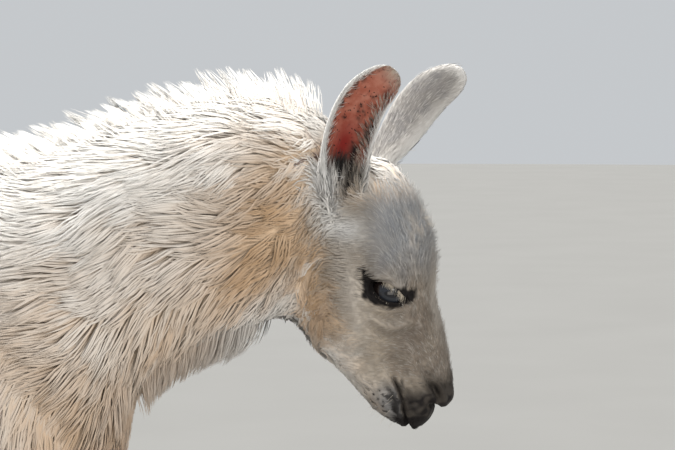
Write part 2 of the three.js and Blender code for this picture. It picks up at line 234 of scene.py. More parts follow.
class Net:
    """The points of a mesh and their neighbours, for smoothing and spreading."""

    def __init__(self, mesh):
        self.mesh = mesh
        self.points = read(mesh.vertices, "co", 3).astype(float)
        edges = read(mesh.edges, "vertices", 2, np.int32)
        self.start = np.concatenate([edges[:, 0], edges[:, 1]])
        self.end = np.concatenate([edges[:, 1], edges[:, 0]])
        self.degree = np.maximum(np.bincount(self.start, minlength=len(self.points)), 1)

    def around(self, values):
        """The mean of each point's neighbours."""
        columns = values[:, None] if values.ndim == 1 else values
        sums = [np.bincount(self.start, c[self.end], len(self.points)) for c in columns.T]
        mean = np.stack(sums, axis=1) / self.degree[:, None]
        return mean[:, 0] if values.ndim == 1 else mean

    def spread(self, values, passes):
        """Blurs a field over the surface."""
        for _ in range(passes):
            values = 0.3 * values + 0.7 * self.around(values)
        return values

    def smooth(self, passes, where=None):
        """Evens the surface and then swells it a little, so that it doesn't shrink."""
        weight = 1.0 if where is None else where[:, None]
        for _ in range(passes):
            for share in (0.5, -0.53):
                self.points += share * weight * (self.around(self.points) - self.points)

    def write(self):
        """Puts the points back into the mesh."""
        self.mesh.vertices.foreach_set("co", self.points.astype(np.float32).ravel())
        self.mesh.update()

    def normals(self):
        self.write()
        return read(self.mesh.vertices, "normal", 3).astype(float)


# ---------------------------------------------------------------- the skin

FLESH = [
    "trunk", "neck", "head", "lower_jaw", "tail",
    "foreleg_right", "foreleg_left", "hindleg_right", "hindleg_left",
    "forefoot_right", "forefoot_left", "hindfoot_right", "hindfoot_left",
]
VOXEL = 0.0115                    # of the remesh that joins the flesh
GROWTH = 0.0005                   # of each node before it, so that the cuts between them close
LOWEST_SKIN = 0.0005              # above the floor
FINE_LEVELS = {1: 3, 2: 3, 3: 3, 4: 2}      # passes of smoothing after each level of subdivision


def flesh_mesh():
    """The nodes of flesh as one mesh, each grown a little."""
    mesh = bpy.data.meshes.new("flesh")
    with opened(mesh) as work:
        for node in FLESH:
            work.from_mesh(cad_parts[node].data)
        bmesh.ops.remove_doubles(work, verts=work.verts, dist=1e-5)
        work.normal_update()
        for vertex in work.verts:
            vertex.co += vertex.normal * GROWTH
    return mesh


def nearest_flesh(points):
    """For each point, the name of the nearest node of flesh and how far its surface is."""
    trees = []
    for node in FLESH:
        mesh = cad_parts[node].data
        corners = [tuple(v.co) for v in mesh.vertices]
        trees.append(BVHTree.FromPolygons(corners, [tuple(p.vertices) for p in mesh.polygons]))
    owner = np.zeros(len(points), int)
    room = np.ones(len(points))
    for i, point in enumerate(points):
        for k, tree in enumerate(trees):
            found = tree.find_nearest(point, room[i])
            if found[0] is not None:
                owner[i], room[i] = k, found[3]
    return np.array(FLESH)[owner], room


# How far the skin lies inside the outline of the flesh, which is that of the coat.
UNDER_WOOL, UNDER_TAIL_WOOL, UNDER_LEG_HAIR, UNDER_FOOT_HAIR = 0.024, 0.015, 0.004, 0.003


def skin_depth(net):
    """How far the skin lies inside the coat's outline, in metres."""
    head = to_head(net.points)
    height = net.points[:, 2]
    depth = np.full(len(net.points), UNDER_WOOL)
    names, _ = nearest_flesh(net.points)
    limb = np.char.find(names, "leg") >= 0
    foot = np.char.find(names, "foot") >= 0
    depth[limb] = UNDER_LEG_HAIR + 0.02 * fade(height[limb], 0.30, 0.52)
    depth[foot] = UNDER_FOOT_HAIR
    depth[names == "tail"] = UNDER_TAIL_WOOL
    face = (names == "head") | (names == "lower_jaw")
    back = fade(head[:, 0], -52, -105)
    muzzle = fade(head[:, 2], -60, -95)
    depth[face] = (0.0022 - 0.0018 * muzzle + 0.022 * back * fade(head[:, 2], -70, -20))[face]
    return net.spread(depth, 8)


def blend_neck(net):
    """Evens the step where the neck leaves the trunk."""
    for _ in range(40):
        x, z = net.points[:, 0], net.points[:, 2]
        where = bump_at(x - 0.24 + 0.25 * (z - 0.9), 0.11) * fade(z, 0.58, 0.68)
        net.points += 0.5 * where[:, None] * (net.around(net.points) - net.points)


def subdivide(mesh, chosen):
    """Splits the chosen faces in four."""
    with opened(mesh) as work:
        work.faces.ensure_lookup_table()
        faces = [work.faces[i] for i in np.nonzero(chosen)[0]]
        edges = list({edge for face in faces for edge in face.edges})
        bmesh.ops.subdivide_edges(work, edges=edges, cuts=1, use_grid_fill=True)
        bmesh.ops.triangulate(work, faces=[face for face in work.faces if len(face.verts) > 4])


def face_centres(mesh):
    return read(mesh.polygons, "center", 3).astype(float)


def fine_areas(centres, level):
    """Where the skin needs a finer mesh: 1 head and feet, 2 face, 3 muzzle and eyes, 4 eyes."""
    head = to_head(centres)
    on_head = (head[:, 0] > -88) & (head[:, 2] > -165) & (head[:, 2] < 100)
    if level == 1:
        return on_head | (centres[:, 2] < 0.11)
    if level == 2:
        return on_head & (head[:, 0] > -62)
    reach = 36 if level == 3 else 31
    eyes = np.zeros(len(centres), bool)
    for side in (-1, 1):
        away = head - np.array([2, side * 60, -1])
        eyes |= np.linalg.norm(away, axis=1) < reach
    if level == 4:
        return eyes
    return on_head & (eyes | ((head[:, 2] < -82) & (head[:, 0] > -30)))


# ---------------------------------------------------------------- sculpting the head

EYE_TILT = math.radians(27)       # the slit of the eye falls toward the nose
EYE_LONG = 20                     # half length of the opening, millimetres
EYE_OPEN = (8.8, 9.0)             # its half height above and below
LID = 1.9                         # thickness of a lid over the eyeball
BALL = EYE_RADIUS / MM            # radius of the eyeball, millimetres


def eye_coordinates(head, side):
    """Along and across the slit of an eye, and out from the eyeball's middle, in millimetres."""
    away = head - to_head(EYE[side])
    along_slit = away[:, 0] * math.cos(EYE_TILT) - away[:, 2] * math.sin(EYE_TILT)
    across_slit = away[:, 0] * math.sin(EYE_TILT) + away[:, 2] * math.cos(EYE_TILT)
    return along_slit, across_slit, away[:, 1] * SIDES[side]


def slit_height(along_slit, above):
    """Half height of the eye's opening at a place along it."""
    share = np.clip(1 - ((along_slit - 1) / EYE_LONG) ** 2, 0, 1)
    return np.where(above, EYE_OPEN[0] * share ** 0.8, EYE_OPEN[1] * share ** 0.65)


def opening_distance(along_slit, across_slit):
    """Millimetres outside the rim of the opening; negative inside it."""
    rim = slit_height(along_slit, across_slit > 0)
    past = np.maximum(np.abs(along_slit - 1) - EYE_LONG, 0)
    return np.where(past > 0, np.hypot(past, across_slit), np.abs(across_slit) - rim)


def sculpt_eye(points, side):
    """Lids that follow the eyeball, the hollow behind their opening, and the folds round them."""
    lengthwise, across_slit, out = eye_coordinates(to_head(points), side)
    flat = np.hypot(lengthwise, across_slit)
    near = (flat < 40) & (out > -5)
    rim = opening_distance(lengthwise, across_slit)
    over = np.sqrt(np.clip((BALL + LID) ** 2 - flat ** 2, 0, None))
    lid = over + 0.9 * bump_at(rim - 1.2, 1.6)
    hidden = np.sqrt(np.clip((BALL - 3.0) ** 2 - flat ** 2, 0, None))
    flesh = 0.5 * (lid + out + np.sqrt((lid - out) ** 2 + 4))
    upper = across_slit > 0
    slope = fade(rim, np.where(upper, 4.5, 8), 0.5)
    lid = np.where(flat < BALL + LID - 0.5, flesh + (lid - flesh) * slope, out - 3.0 * slope)
    target = np.where(rim < 0, hidden, lid)
    moved = out + fade(flat, 30, 20) * (target - out)
    inside = (rim < 0) & near
    moved = np.where(inside, np.minimum(hidden, moved), moved)
    moved -= np.where(near & ~upper & (rim > 0), 0.8 * bump_at(rim - 9, 2) * fade(flat, 34, 22), 0)
    moved += np.where(near & upper, 1.6 * bump_at(rim - 7, 5) * fade(flat, 40, 26), 0)
    moved += np.where(near & ~upper, 0.8 * bump_at(rim - 13, 4) * fade(flat, 38, 26), 0)
    shift = np.where(near, moved - out, 0)
    points += (shift * SIDES[side] * MM)[:, None] * LEFTWARD


# The mouth from the front of the lips back, forward and up from the head's origin.
MOUTH_LINE = [(15, -149), (14, -143), (11.5, -133), (10, -122), (7, -109), (3, -98), (-2, -88)]


def line_distance(forward, up, line):
    """Distance from a line in the head's middle plane, share along it, and which side it is."""
    best = np.full(len(forward), 1e9)
    share = np.zeros(len(forward))
    sign = np.zeros(len(forward))
    for i, ((ax, az), (bx, bz)) in enumerate(zip(line, line[1:])):
        dx, dz = bx - ax, bz - az
        t = np.clip(((forward - ax) * dx + (up - az) * dz) / (dx * dx + dz * dz), 0, 1)
        gap = np.hypot(forward - ax - t * dx, up - az - t * dz)
        closer = gap < best
        best = np.where(closer, gap, best)
        share = np.where(closer, (i + t) / (len(line) - 1), share)
        sign = np.where(closer, np.sign((forward - ax) * dz - (up - az) * dx), sign)
    return best, share, sign


# Under the nose, where it meets the upper lip.
NOSE_NOTCH = [(34, -116), (40, -121), (46, -124)]
NOSTRIL = (46, -106)              # its middle, forward and up
NOSTRIL_SIDE = 21                 # and how far it stands to the side
NOSTRIL_LEAN = (0.47, -0.88)      # the direction of its long axis


def nostril_axes(forward, up):
    """Millimetres along and across a nostril from its middle."""
    ahead, above = forward - NOSTRIL[0], up - NOSTRIL[1]
    return (ahead * NOSTRIL_LEAN[0] + above * NOSTRIL_LEAN[1],
            ahead * -NOSTRIL_LEAN[1] + above * NOSTRIL_LEAN[0])


def mound(forward, up, place, radius, longer=1.0, taller=1.0):
    """A round or oval spot about a place on the head, 1 in its middle."""
    return bump_at(np.hypot((forward - place[0]) / longer, (up - place[1]) / taller), radius)


def sculpt_muzzle(points, normals):
    """The mouth, the upper lip, the notch under the nose and the nostrils."""
    forward, side, up = to_head(points).T
    lateral = np.abs(side)
    push = np.zeros(len(points))
    gap, share, _ = line_distance(forward, up, MOUTH_LINE)
    mouth = fade(lateral, 1, 6) * fade(share, 1.0, 0.9)
    push -= 4.6 * bump_at(gap, 1.9) * mouth
    push += 2.0 * bump_at(gap - 5.5, 3.2) * mouth
    push += 1.6 * mound(forward, up, (30, -137), 11)                                # the upper lip
    notch = line_distance(forward, up, NOSE_NOTCH)[0]
    push -= 5.0 * bump_at(notch, 2.6) * fade(lateral, 34, 22)
    push -= 2.6 * bump_at(side, 1.2) * fade(up, -116, -130) * fade(forward, 14, 26)     # its cleft
    push -= 1.6 * bump_at(gap - 16, 5) * fade(share, 0.7, 1.0)                      # round the corner
    lean, wide = nostril_axes(forward, up)
    nostril = np.hypot(lean / 11.5, (wide + 0.012 * lean ** 2) / 3.1)
    for wing in SIDES.values():
        facing = bump_at(side - wing * NOSTRIL_SIDE, 14)
        push -= 9.0 * np.exp(-nostril ** 2.6) * facing
        push += 1.9 * bump_at(nostril - 1.9, 0.7) * facing
    points += push[:, None] * MM * normals


# The outline of the muzzle in the head's middle plane, from the bridge of the nose round to the jaw.
MUZZLE_OUTLINE = [
    (58, -78), (60, -92), (62, -105), (62.5, -111), (61.5, -117), (57, -122.5), (50.5, -125),
    (44.5, -123.5), (41, -121.5), (40.5, -125), (40, -130), (37.5, -135.5), (32.5, -142), (27, -147),
    (20.5, -149), (15, -147.5), (12.5, -144.5), (8.5, -147), (2.5, -146.5), (-5, -144), (-11, -140.5),
    (-18, -136), (-25, -130.5), (-31, -124.5), (-38, -114.5), (-46, -104),
]
MUZZLE_MIDDLE = (12, -112)
# Height, and how far forward the bridge of the nose and the forehead stand there.
BRIDGE = [
    (-100, 61), (-90, 59.6), (-76, 57.4), (-54, 53), (-34, 48), (-16, 42.6), (0, 39.6), (22, 39),
    (44, 37.4), (66, 34.8), (80, 32),
]


def fit_bridge(points):
    """Draws the front of the face onto its outline."""
    forward, side, up = to_head(points).T
    heights = np.arange(-100, 92, 4.0)
    front = (np.abs(side) < 30) & (forward > 5)
    present = np.array([forward[front & (np.abs(up - height) < 3)].max(initial=0) for height in heights])
    present = np.convolve(np.pad(present, 2, mode="edge"), np.ones(5) / 5, mode="valid")
    reach = np.interp(up, heights, present)
    lack = np.interp(up, *np.array(BRIDGE, float).T) - reach
    hold = fade(forward / reach, 0.2, 0.95) * fade(up, -108, -94) * fade(up, 88, 66) * (np.abs(side) < 70)
    points += (hold * lack)[:, None] * MM * FORWARD


def fit_muzzle(points):
    """Draws the muzzle's silhouette onto its outline, without moving its flanks."""
    head = to_head(points)
    forward, up = head[:, 0] - MUZZLE_MIDDLE[0], head[:, 2] - MUZZLE_MIDDLE[1]
    angle, radius = np.arctan2(up, forward), np.hypot(forward, up)
    outline = np.array(MUZZLE_OUTLINE, float) - MUZZLE_MIDDLE
    steps = np.linspace(0, 1, 40)[:, None]
    drawn = np.concatenate([a + (b - a) * steps for a, b in zip(outline, outline[1:])])
    turns, reaches = np.arctan2(drawn[:, 1], drawn[:, 0]), np.hypot(drawn[:, 0], drawn[:, 1])
    quarter, slot = math.radians(90), math.radians(2.2)
    turns = np.where(turns > quarter, turns - 2 * math.pi, turns)
    wrapped = np.where(angle > quarter, angle - 2 * math.pi, angle)
    muzzle = (head[:, 2] < -60) & (radius < 80) & (np.abs(head[:, 1]) < 60) & (wrapped > math.radians(-183))
    edges = np.radians(np.arange(-182, 37, 2.0))
    wanted = np.array([reaches[np.abs(turns - edge) < slot].max(initial=0) for edge in edges])
    present = np.array([radius[muzzle & (np.abs(wrapped - edge) < slot)].max(initial=0) for edge in edges])
    known = (wanted > 0) & (present > 0)
    wide = np.interp(wrapped, edges[known], (wanted / np.maximum(present, 1))[known])
    reach = np.interp(wrapped, edges[known], present[known])
    hold = fade(radius / np.maximum(reach, 1), 0.45, 0.9)
    hold *= fade(wrapped, *np.radians([36, 18]))
    hold *= fade(wrapped, *np.radians([-182, -168])) * muzzle
    scale = 1 + (wide - 1) * hold
    points += MM * (((scale - 1) * forward)[:, None] * FORWARD + ((scale - 1) * up)[:, None] * UP)


def sculpt_face(points, normals):
    """The bones and hollows of the face, above the muzzle."""
    forward, side, up = to_head(points).T
    lateral = np.abs(side)

    def fold(line, width):
        return bump_at(line_distance(forward, up, line)[0], width)

    # The brow, and the bag under the eye with the crease below it.
    push = 3.4 * mound(forward, up, (-2, 26), 15, taller=0.8) * fade(lateral, 30, 50)
    push += 2.2 * fold([(-20, -23), (-8, -33), (6, -37), (20, -28)], 4.5) * fade(lateral, 25, 40)
    push -= 3.0 * fold([(-20, -33), (-6, -46), (8, -48), (24, -38)], 5.5) * fade(lateral, 16, 34)
    # The hollow of the cheek, and the side of the nose in front of it.
    push -= 4.2 * fold([(-6, -56), (0, -88)], 8.0) * fade(lateral, 12, 26)
    push += 2.4 * fold([(16, -60), (24, -92)], 8) * fade(lateral, 8, 20)
    # The ridge behind the eye, the temple and the side of the forehead.
    push += 2.6 * fold([(-34, -28), (-40, 12), (-50, 60)], 7.5) * fade(lateral, 22, 42)
    push -= 3.4 * fold([(-22, 16), (-26, 46)], 8.5) * fade(lateral, 24, 44)
    push -= 2.2 * fold([(10, 42), (2, 66)], 12) * fade(lateral, 24, 44)
    # The angle of the jaw, the nose bone, and the hollow above the jaw.
    push += 2.6 * mound(forward, up, (-62, -46), 26, longer=1.2) * fade(lateral, 15, 30)
    push += 1.4 * mound(forward, up, (35, -70), 11, taller=2.4) * fade(lateral, 20, 2)
    push -= 2.0 * fold([(-30, -70), (-24, -104)], 8) * fade(lateral, 14, 26)
    points += push[:, None] * MM * normals


def sculpt_feet(points, normals):
    """A cleft between the two toes of each foot."""
    low = fade(points[:, 2], 0.085, 0.05)
    push = np.zeros(len(points))
    for node in FLESH:
        if "foot" in node:
            corner_a, corner_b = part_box(node)
            middle = (corner_a[1] + corner_b[1]) / 2
            inside = (np.abs(points[:, 1] - middle) < 0.06) & (points[:, 0] > corner_a[0] + 0.03)
            inside &= points[:, 0] < corner_b[0] + 0.03
            push -= np.where(inside, 4.0 * bump_at((points[:, 1] - middle) / MM, 3), 0) * low
    points += push[:, None] * MM * normals


def build_skin():
    """The flesh remeshed as one, drawn in by the depth of the coat, refined and sculpted."""
    flesh = new_object("flesh", flesh_mesh())
    remesh = flesh.modifiers.new("Remesh", "REMESH")
    remesh.mode = "VOXEL"
    remesh.voxel_size = VOXEL
    mesh = evaluated(flesh)
    net = Net(mesh)
    net.smooth(6)
    blend_neck(net)
    depth = skin_depth(net)
    steps = 5
    for _ in range(steps):
        net.points -= net.normals() * (depth / steps)[:, None]
        net.smooth(1, where=fade(depth, 0.006, 0.02))
    net.points[:, 2] = np.maximum(net.points[:, 2], LOWEST_SKIN)
    net.write()
    for level, passes in FINE_LEVELS.items():
        subdivide(mesh, fine_areas(face_centres(mesh), level))
        net = Net(mesh)
        chosen = np.zeros(len(net.points))
        chosen[np.unique(net.start[fine_areas(net.points, level)[net.start]])] = 1
        net.smooth(passes, where=net.spread(chosen, 2))
        net.write()
    fit_bridge(net.points)
    fit_muzzle(net.points)
    net.smooth(1)
    sculpt_face(net.points, net.normals())
    normals = net.normals()
    sculpt_muzzle(net.points, normals)
    sculpt_feet(net.points, normals)
    for side in SIDES:
        sculpt_eye(net.points, side)
    net.write()
    return mesh


def add_ears(mesh):
    """Joins the ears to the skin as one closed surface."""
    body = new_object("body_work", mesh)
    for side in EARS:
        ear = mesh_from(f"ear_work_{side}", *ear_mesh(side))
        tidy_normals(ear)
        join = body.modifiers.new(side, "BOOLEAN")
        join.operation = "UNION"
        join.solver = "MANIFOLD"
        join.object = new_object(f"ear_work_{side}", ear)
    joined = evaluated(body)
    for side in EARS:
        bpy.data.objects.remove(bpy.data.objects[f"ear_work_{side}"])
    return joined


# The dark skin round each eye, forward and up from the head's origin.
EYE_PATCH = [
    (-27, 33), (-21, 27), (-13, 20), (-4, 15), (6, 10.5), (17, 8.5), (26.5, 4.5), (26.5, -3.5), (21, -9.5),
    (12, -13), (-7, -12.5), (-21, -8), (-28, -1.5), (-29, 12), (-28.5, 24),
]


def outside_patch(forward, up, outline):
    """Distance outside a closed outline, negative inside."""
    ring = outline + outline[:1]
    inside = np.zeros(len(forward), bool)
    for (ax, az), (bx, bz) in zip(ring, ring[1:]):
        crosses = (az > up) != (bz > up)
        inside ^= crosses & (forward < ax + (bx - ax) * (up - az) / (bz - az if bz != az else 1))
    return np.where(inside, -1, 1) * line_distance(forward, up, ring)[0]


# Black spots inside the right ear, and the painted shade of the slit at the foot of its opening.
EAR_SPOTS = [
    (-14, 213), (-27, 204), (-25, 198), (-30, 198), (-31, 191), (-31, 175), (-45, 192), (-56, 182),
    (-38, 165),
]
EAR_NOTCH = [(-36, 158), (-41, 142), (-45, 122), (-46, 106)]

# Small dark spots on the chin.
CHIN_SPOTS = [
    (-22, -111), (-15, -106), (-7, -112), (-11, -118), (-4, -118), (-12, -124), (-17, -116), (-1, -124),
    (-8, -130), (1, -108), (5, -115), (-3, -105),
]


# ---------------------------------------------------------------- zones, markings and lie of the coat

EarPlace = namedtuple("EarPlace", "held share wide axis out across")


def place_on_ear(points, side):
    """How far each point belongs to an ear, its shares of length and half width, and the axes there."""
    shares = np.linspace(0, 1, 80)
    middle, axis, across, out = ear_axes(side, shares)
    half = along(EAR_HALF_WIDTHS, shares)[:, 0] * MM
    gaps = np.linalg.norm(points[:, None, :] - middle[None], axis=2) / (half + 0.004)
    best = gaps.argmin(axis=1)
    wide = ((points - middle[best]) * across[best]).sum(axis=1) / half[best]
    held = fade(gaps.min(axis=1), 1.14, 1.0) * fade(shares[best], 0.14, 0.26)
    return EarPlace(held, shares[best], wide, axis[best], out[best], across[best])


WAVES = 10                        # added up to make a field of noise


def waves(points, size, seed):
    """Smooth noise from about -1 to 1 with bumps about the given size."""
    random = np.random.default_rng(seed)
    total = np.zeros(len(points))
    for _ in range(WAVES):
        direction = unit(random.normal(size=3))
        total += np.sin((points @ direction) * 2 * math.pi / (size * random.uniform(0.7, 1.6))
                        + random.uniform(0, 2 * math.pi))
    return total / math.sqrt(WAVES) * 0.9


# Lines and spots of the markings, forward and up from the head's origin.
LIP_STRIPE = [(10, -96), (14, -112), (17, -132)]
JAW_EDGE = [(-92, -52), (-66, -78), (-40, -104)]
UNDER_EYE = [(-20, -23), (-6, -32), (14, -30)]
EAR_ROOT_BAND = [(-66, 130), (-66, 100), (-58, 76), (-40, 70)]
NAPE = (-92, 35)

ZONES = {
    "head": ["head", "lower_jaw"],
    "neck": ["neck"],
    "trunk": ["trunk"],
    "tail": ["tail"],
    "leg": [node for node in FLESH if "leg" in node],
    "foot": [node for node in FLESH if "foot" in node],
}


class Survey:
    """Everything the coat needs to know at each point of the skin."""

    def __init__(self, mesh):
        mesh.calc_loop_triangles()
        self.points = read(mesh.vertices, "co", 3).astype(float)
        self.normals = read(mesh.vertices, "normal", 3).astype(float)
        self.triangles = read(mesh.loop_triangles, "vertices", 3, np.int32)
        self.corners = read(mesh.loop_triangles, "loops", 3, np.int32)
        self.unwrap = read(mesh.uv_layers["OFBake"].data, "uv", 2).astype(float)
        self.tree = BVHTree.FromPolygons(self.points.tolist(), self.triangles.tolist())
        edge_a = self.points[self.triangles[:, 1]] - self.points[self.triangles[:, 0]]
        edge_b = self.points[self.triangles[:, 2]] - self.points[self.triangles[:, 0]]
        self.areas = np.linalg.norm(np.cross(edge_a, edge_b), axis=1) / 2
        self.head = to_head(self.points)
        net = Net(mesh)
        names, room = nearest_flesh(self.points)
        self.zone = {}
        for zone, nodes in ZONES.items():
            self.zone[zone] = net.spread(np.isin(names, nodes).astype(float), 6)
        self.room = net.spread(room, 10)
        self.ear_place = {side: place_on_ear(self.points, side) for side in EARS}
        self.ear = np.maximum(*(place.held for place in self.ear_place.values()))
        self.patchy, self.fine, self.specks = (
            waves(self.points, size, seed) for size, seed in ((0.030, 3), (0.011, 4), (0.006, 15)))
        self.marks = self.markings()
        self.flow = self.lie()

    def near_line(self, line):
        """Distance from a line on the head, in millimetres."""
        forward, _, up = self.head.T
        return line_distance(forward, up, line)[0]

    def markings(self):
        """How strong each marking, painted shade and painted light is at each point, 0 to 1."""
        head = self.zone["head"] * (1 - self.ear)
        marks = self.wool_marks()
        marks.update(self.face_marks(head))
        marks["dark"] = self.dark_face() * head
        self.add_ear_marks(marks)
        return marks

    def wool_marks(self):
        """Tan wool with painted shade, darker low down, where the skin faces down and to the sides, and
        umber at the nape.
        """
        forward, _, up = self.head.T
        facing_up, height = self.normals[:, 2], self.points[:, 2]
        side_on = fade(facing_up, 0.75, 0.35)
        nape = mound(forward, up, NAPE, 40, 1.2, 2.4)
        body = np.clip(self.zone["trunk"] + self.zone["leg"], 0, 1)
        limbs = np.clip(self.zone["leg"] + self.zone["foot"], 0, 1)
        # Painted shade: darker where the skin faces down, low down and on the sides; partly the wool's own
        # tan.
        tan_and_shade = fade(facing_up, 0.4, -0.5) * 0.6
        tan_and_shade += 0.5 * fade(height, 0.98, 0.72) * (1 - 0.5 * body)
        tan_and_shade += 0.4 * fade(forward, -250, -340) * fade(facing_up, 0.45, 0.05)
        tan_and_shade += 0.3 * fade(forward, -260, -100) * side_on
        tan_and_shade += 0.75 * nape * side_on
        tan_and_shade *= 1 - 0.75 * fade(forward, -180, -120) * fade(facing_up, -0.2, -0.7)      # throat
        tan_and_shade *= 1 - 0.75 * limbs * fade(height, 0.64, 0.26)
        tan_and_shade = tan_and_shade + 0.10 * self.patchy + 0.08 * waves(self.points, 0.11, 14)
        umber = nape * side_on * np.clip(0.6 + 0.8 * self.fine, 0, 1) * fade(up, -25, 20)
        return {"tan_and_shade": np.clip(tan_and_shade, 0, 1), "umber": umber}

    def chin_and_lip(self):
        """How far each point is on the chin, and how far on the upper lip's side of the mouth."""
        forward, _, up = self.head.T
        gap, _, front = line_distance(forward, up, MOUTH_LINE)
        lip = fade(front * gap + 2 * self.fine, -5, 1)
        return (1 - lip) * fade(up, -90, -110) * fade(forward, -44, -24), lip

    def dark_face(self):
        """The black of the muzzle, lips, nostrils and lids, with the spots of the chin."""
        forward, side, up = self.head.T
        lateral = np.abs(side)
        patchy, fine, specks = self.patchy, self.fine, self.specks
        gap, share, _ = line_distance(forward, up, MOUTH_LINE)
        chin, lip = self.chin_and_lip()
        muzzle = fade(up + 6 * patchy + 3 * fine, -90, -114) * fade(forward + 3 * fine, -26, -6)
        layers = [
            muzzle * (0.9 + 0.1 * np.clip(0.5 + fine, 0, 1)) * (0.15 + 0.85 * lip),
            # The lower lip and the upper one, along the mouth.
            0.95 * (1 - lip) * fade(gap + 3 * fine, 20, 6) * fade(up + 3 * patchy, -92, -116),
            0.85 * lip * fade(gap + 2 * fine, 11, 4) * fade(up, -88, -102),
            # The grey of the chin and its speckles.
            0.35 * chin * fade(up + 3 * patchy, -96, -124),
            0.85 * chin * fade(specks, 0.6, 0.85),
            # The tip of the nose, the front of the lips, the notch between them and the upper lip's edge.
            0.9 * fade(up + 3 * patchy, -74, -102) * fade(forward, 20, 40),
            fade(up + 2 * patchy, -122, -138) * fade(forward, -10, 4),
            0.97 * fade(up + 2 * fine, -118, -126) * fade(forward, 30, 40) * fade(lateral, 30, 22),
            0.95 * fade(up, -133, -142) * fade(forward, 17, 23) * fade(lateral, 24, 14),
            # The slit of the mouth, and a stripe on the lip beside it.
            0.95 * bump_at(gap, 3.2) * fade(share, 1.0, 0.8),
            0.8 * bump_at(self.near_line(LIP_STRIPE), 2.6) * fade(lateral, 14, 20),
        ]
        layers += [1.2 * mound(forward, up, spot, 1.6) for spot in CHIN_SPOTS]
        lean, wide = nostril_axes(forward, up)
        nostril = np.exp(-np.hypot(lean / 14, wide / 5.5) ** 3)
        eye_patch = fade(outside_patch(forward, up, EYE_PATCH) + 1.4 * fine + 0.8 * specks, 2.6, -2.4)
        for wing in SIDES.values():
            layers.append(nostril * bump_at(side - wing * NOSTRIL_SIDE, 15))
            layers.append(eye_patch * fade(side * wing, 20, 36))
        return np.clip(np.maximum.reduce(layers), 0, 1)

    def face_marks(self, head):
        """Where the short hair begins, and its shaded, cool, pale and white parts: painted shade, painted
        sky light on the upper face, painted highlights, and painted light under the jaw and throat.
        """
        forward, side, up = self.head.T
        lateral = np.abs(side)
        patchy, fine = self.patchy, self.fine
        chin, _ = self.chin_and_lip()
        edge = fade(forward + 0.25 * up + 7 * patchy, -78, -42) * fade(up, 130, 90)
        shade = head * np.clip(
            0.9 * fade(up, 40, -20) * fade(forward, -18, 14) * fade(up, -100, -84)
            + 0.6 * mound(forward, up, (8, 26), 16, 1.6) + 0.12 * patchy, 0, 1)
        # Painted sky light: the upper face turns cool grey as if lit from the sky above; on the chin the
        # cool grey is the hair's own.
        cool = head * np.maximum(fade(up + 5 * patchy, 0, 62) * fade(forward, -40, 0), 0.75 * chin)
        # Painted highlight: paler hair on the ridge behind the eye, the front of the nose, the forehead,
        # the bag under the eye and the edge of the jaw.
        pale = np.clip(
            mound(forward + 40 + 0.15 * up, up, (0, 12), 14, 0.8, 3.4)                  # behind the eye
            + 0.6 * mound(forward, up, (40, -20), 10, taller=5.0) * fade(lateral, 26, 10)
            + 0.6 * mound(forward, up, (28, 75), 12, taller=3.0) * (0.6 + 0.8 * fine)   # forehead
            + 0.22 * bump_at(self.near_line(UNDER_EYE), 6)
            + 0.8 * bump_at(self.near_line(JAW_EDGE), 22), 0, 1) * head
        white = 0.9 * bump_at(self.near_line(EAR_ROOT_BAND), 15) * fade(lateral, 12, 24)
        # Painted light: the hair under the jaw and throat is made white where it faces down into shade.
        underside = fade(self.normals[:, 2], -0.3, -0.75)
        underside = underside * fade(forward, -20, -44) * fade(forward, -230, -150)
        return {"face": np.maximum(head * edge, self.ear), "shade": shade, "cool": cool, "pale": pale,
                "white": np.maximum(white, 0.75 * underside)}

    def add_ear_marks(self, marks):
        """White backs and rims, flushed insides with painted shade deep in the canal and in the slit at its
        foot, the black in and below them, and painted shade on the back of the left ear.
        """
        forward, side, up = self.head.T
        patchy, fine, specks = self.patchy, self.fine, self.specks
        marks["flush"] = np.zeros(len(self.points))
        marks["deep"] = np.zeros(len(self.points))

        def raise_to(mark, values):
            marks[mark] = np.maximum(marks[mark], values)

        # Painted shade in the slit at the foot of the right ear's opening.
        raise_to("dark", bump_at(self.near_line(EAR_NOTCH), 6.0) * fade(side, -28, -38))
        for ear_side, (held, share, wide, _, out, _) in self.ear_place.items():
            facing = (self.normals * out).sum(axis=1)
            rim = np.where(wide < 0, fade(wide, -0.84, -0.70), fade(wide, 0.95, 0.86))
            inside = fade(facing, -0.1, 0.25) * rim
            cup = inside * held
            raise_to("flush", cup * fade(share, 1.0, 0.86) * fade(share, 0.30, 0.42))
            # Painted shade deep in the ear's cup.
            raise_to("deep", cup * bump_at(np.hypot((share - 0.46) / 0.15, wide / 0.55), 1))
            margin = fade(np.abs(wide + 0.1), 0.3, 0.7)
            speckle = fade(specks + 0.4 * patchy + 0.4 * fade(wide, -0.3, -0.7), 0.0, 0.45) * margin
            raise_to("dark", 0.9 * cup * speckle * fade(share, 0.1, 0.2) * fade(share, 0.95, 0.8))
            # Painted shade along the slit where the cup closes at its foot.
            slit = np.abs(wide + 0.05) / (0.2 + 0.5 * fade(share, 0.26, 0.42))
            raise_to("dark", cup * np.exp(-slit ** 4) * fade(share, 0.46, 0.36))
            if ear_side == "right":
                for spot in EAR_SPOTS:
                    raise_to("dark", cup * mound(forward, up, spot, 1.9))
            raise_to("white", held * (1 - inside))
            if ear_side == "left":
                # Painted shade, with a cool tint, on the back of the left ear.
                behind = fade(facing, 0.1, -0.3) * bump_at(wide - 0.05, 0.8) * fade(share, 1.0, 0.8)
                behind = np.clip(1.7 * behind * (1 + 0.15 * fine), 0, 1)
                raise_to("shade", held * behind)
                raise_to("cool", 0.5 * held * behind)
                marks["white"] *= 1 - held * behind

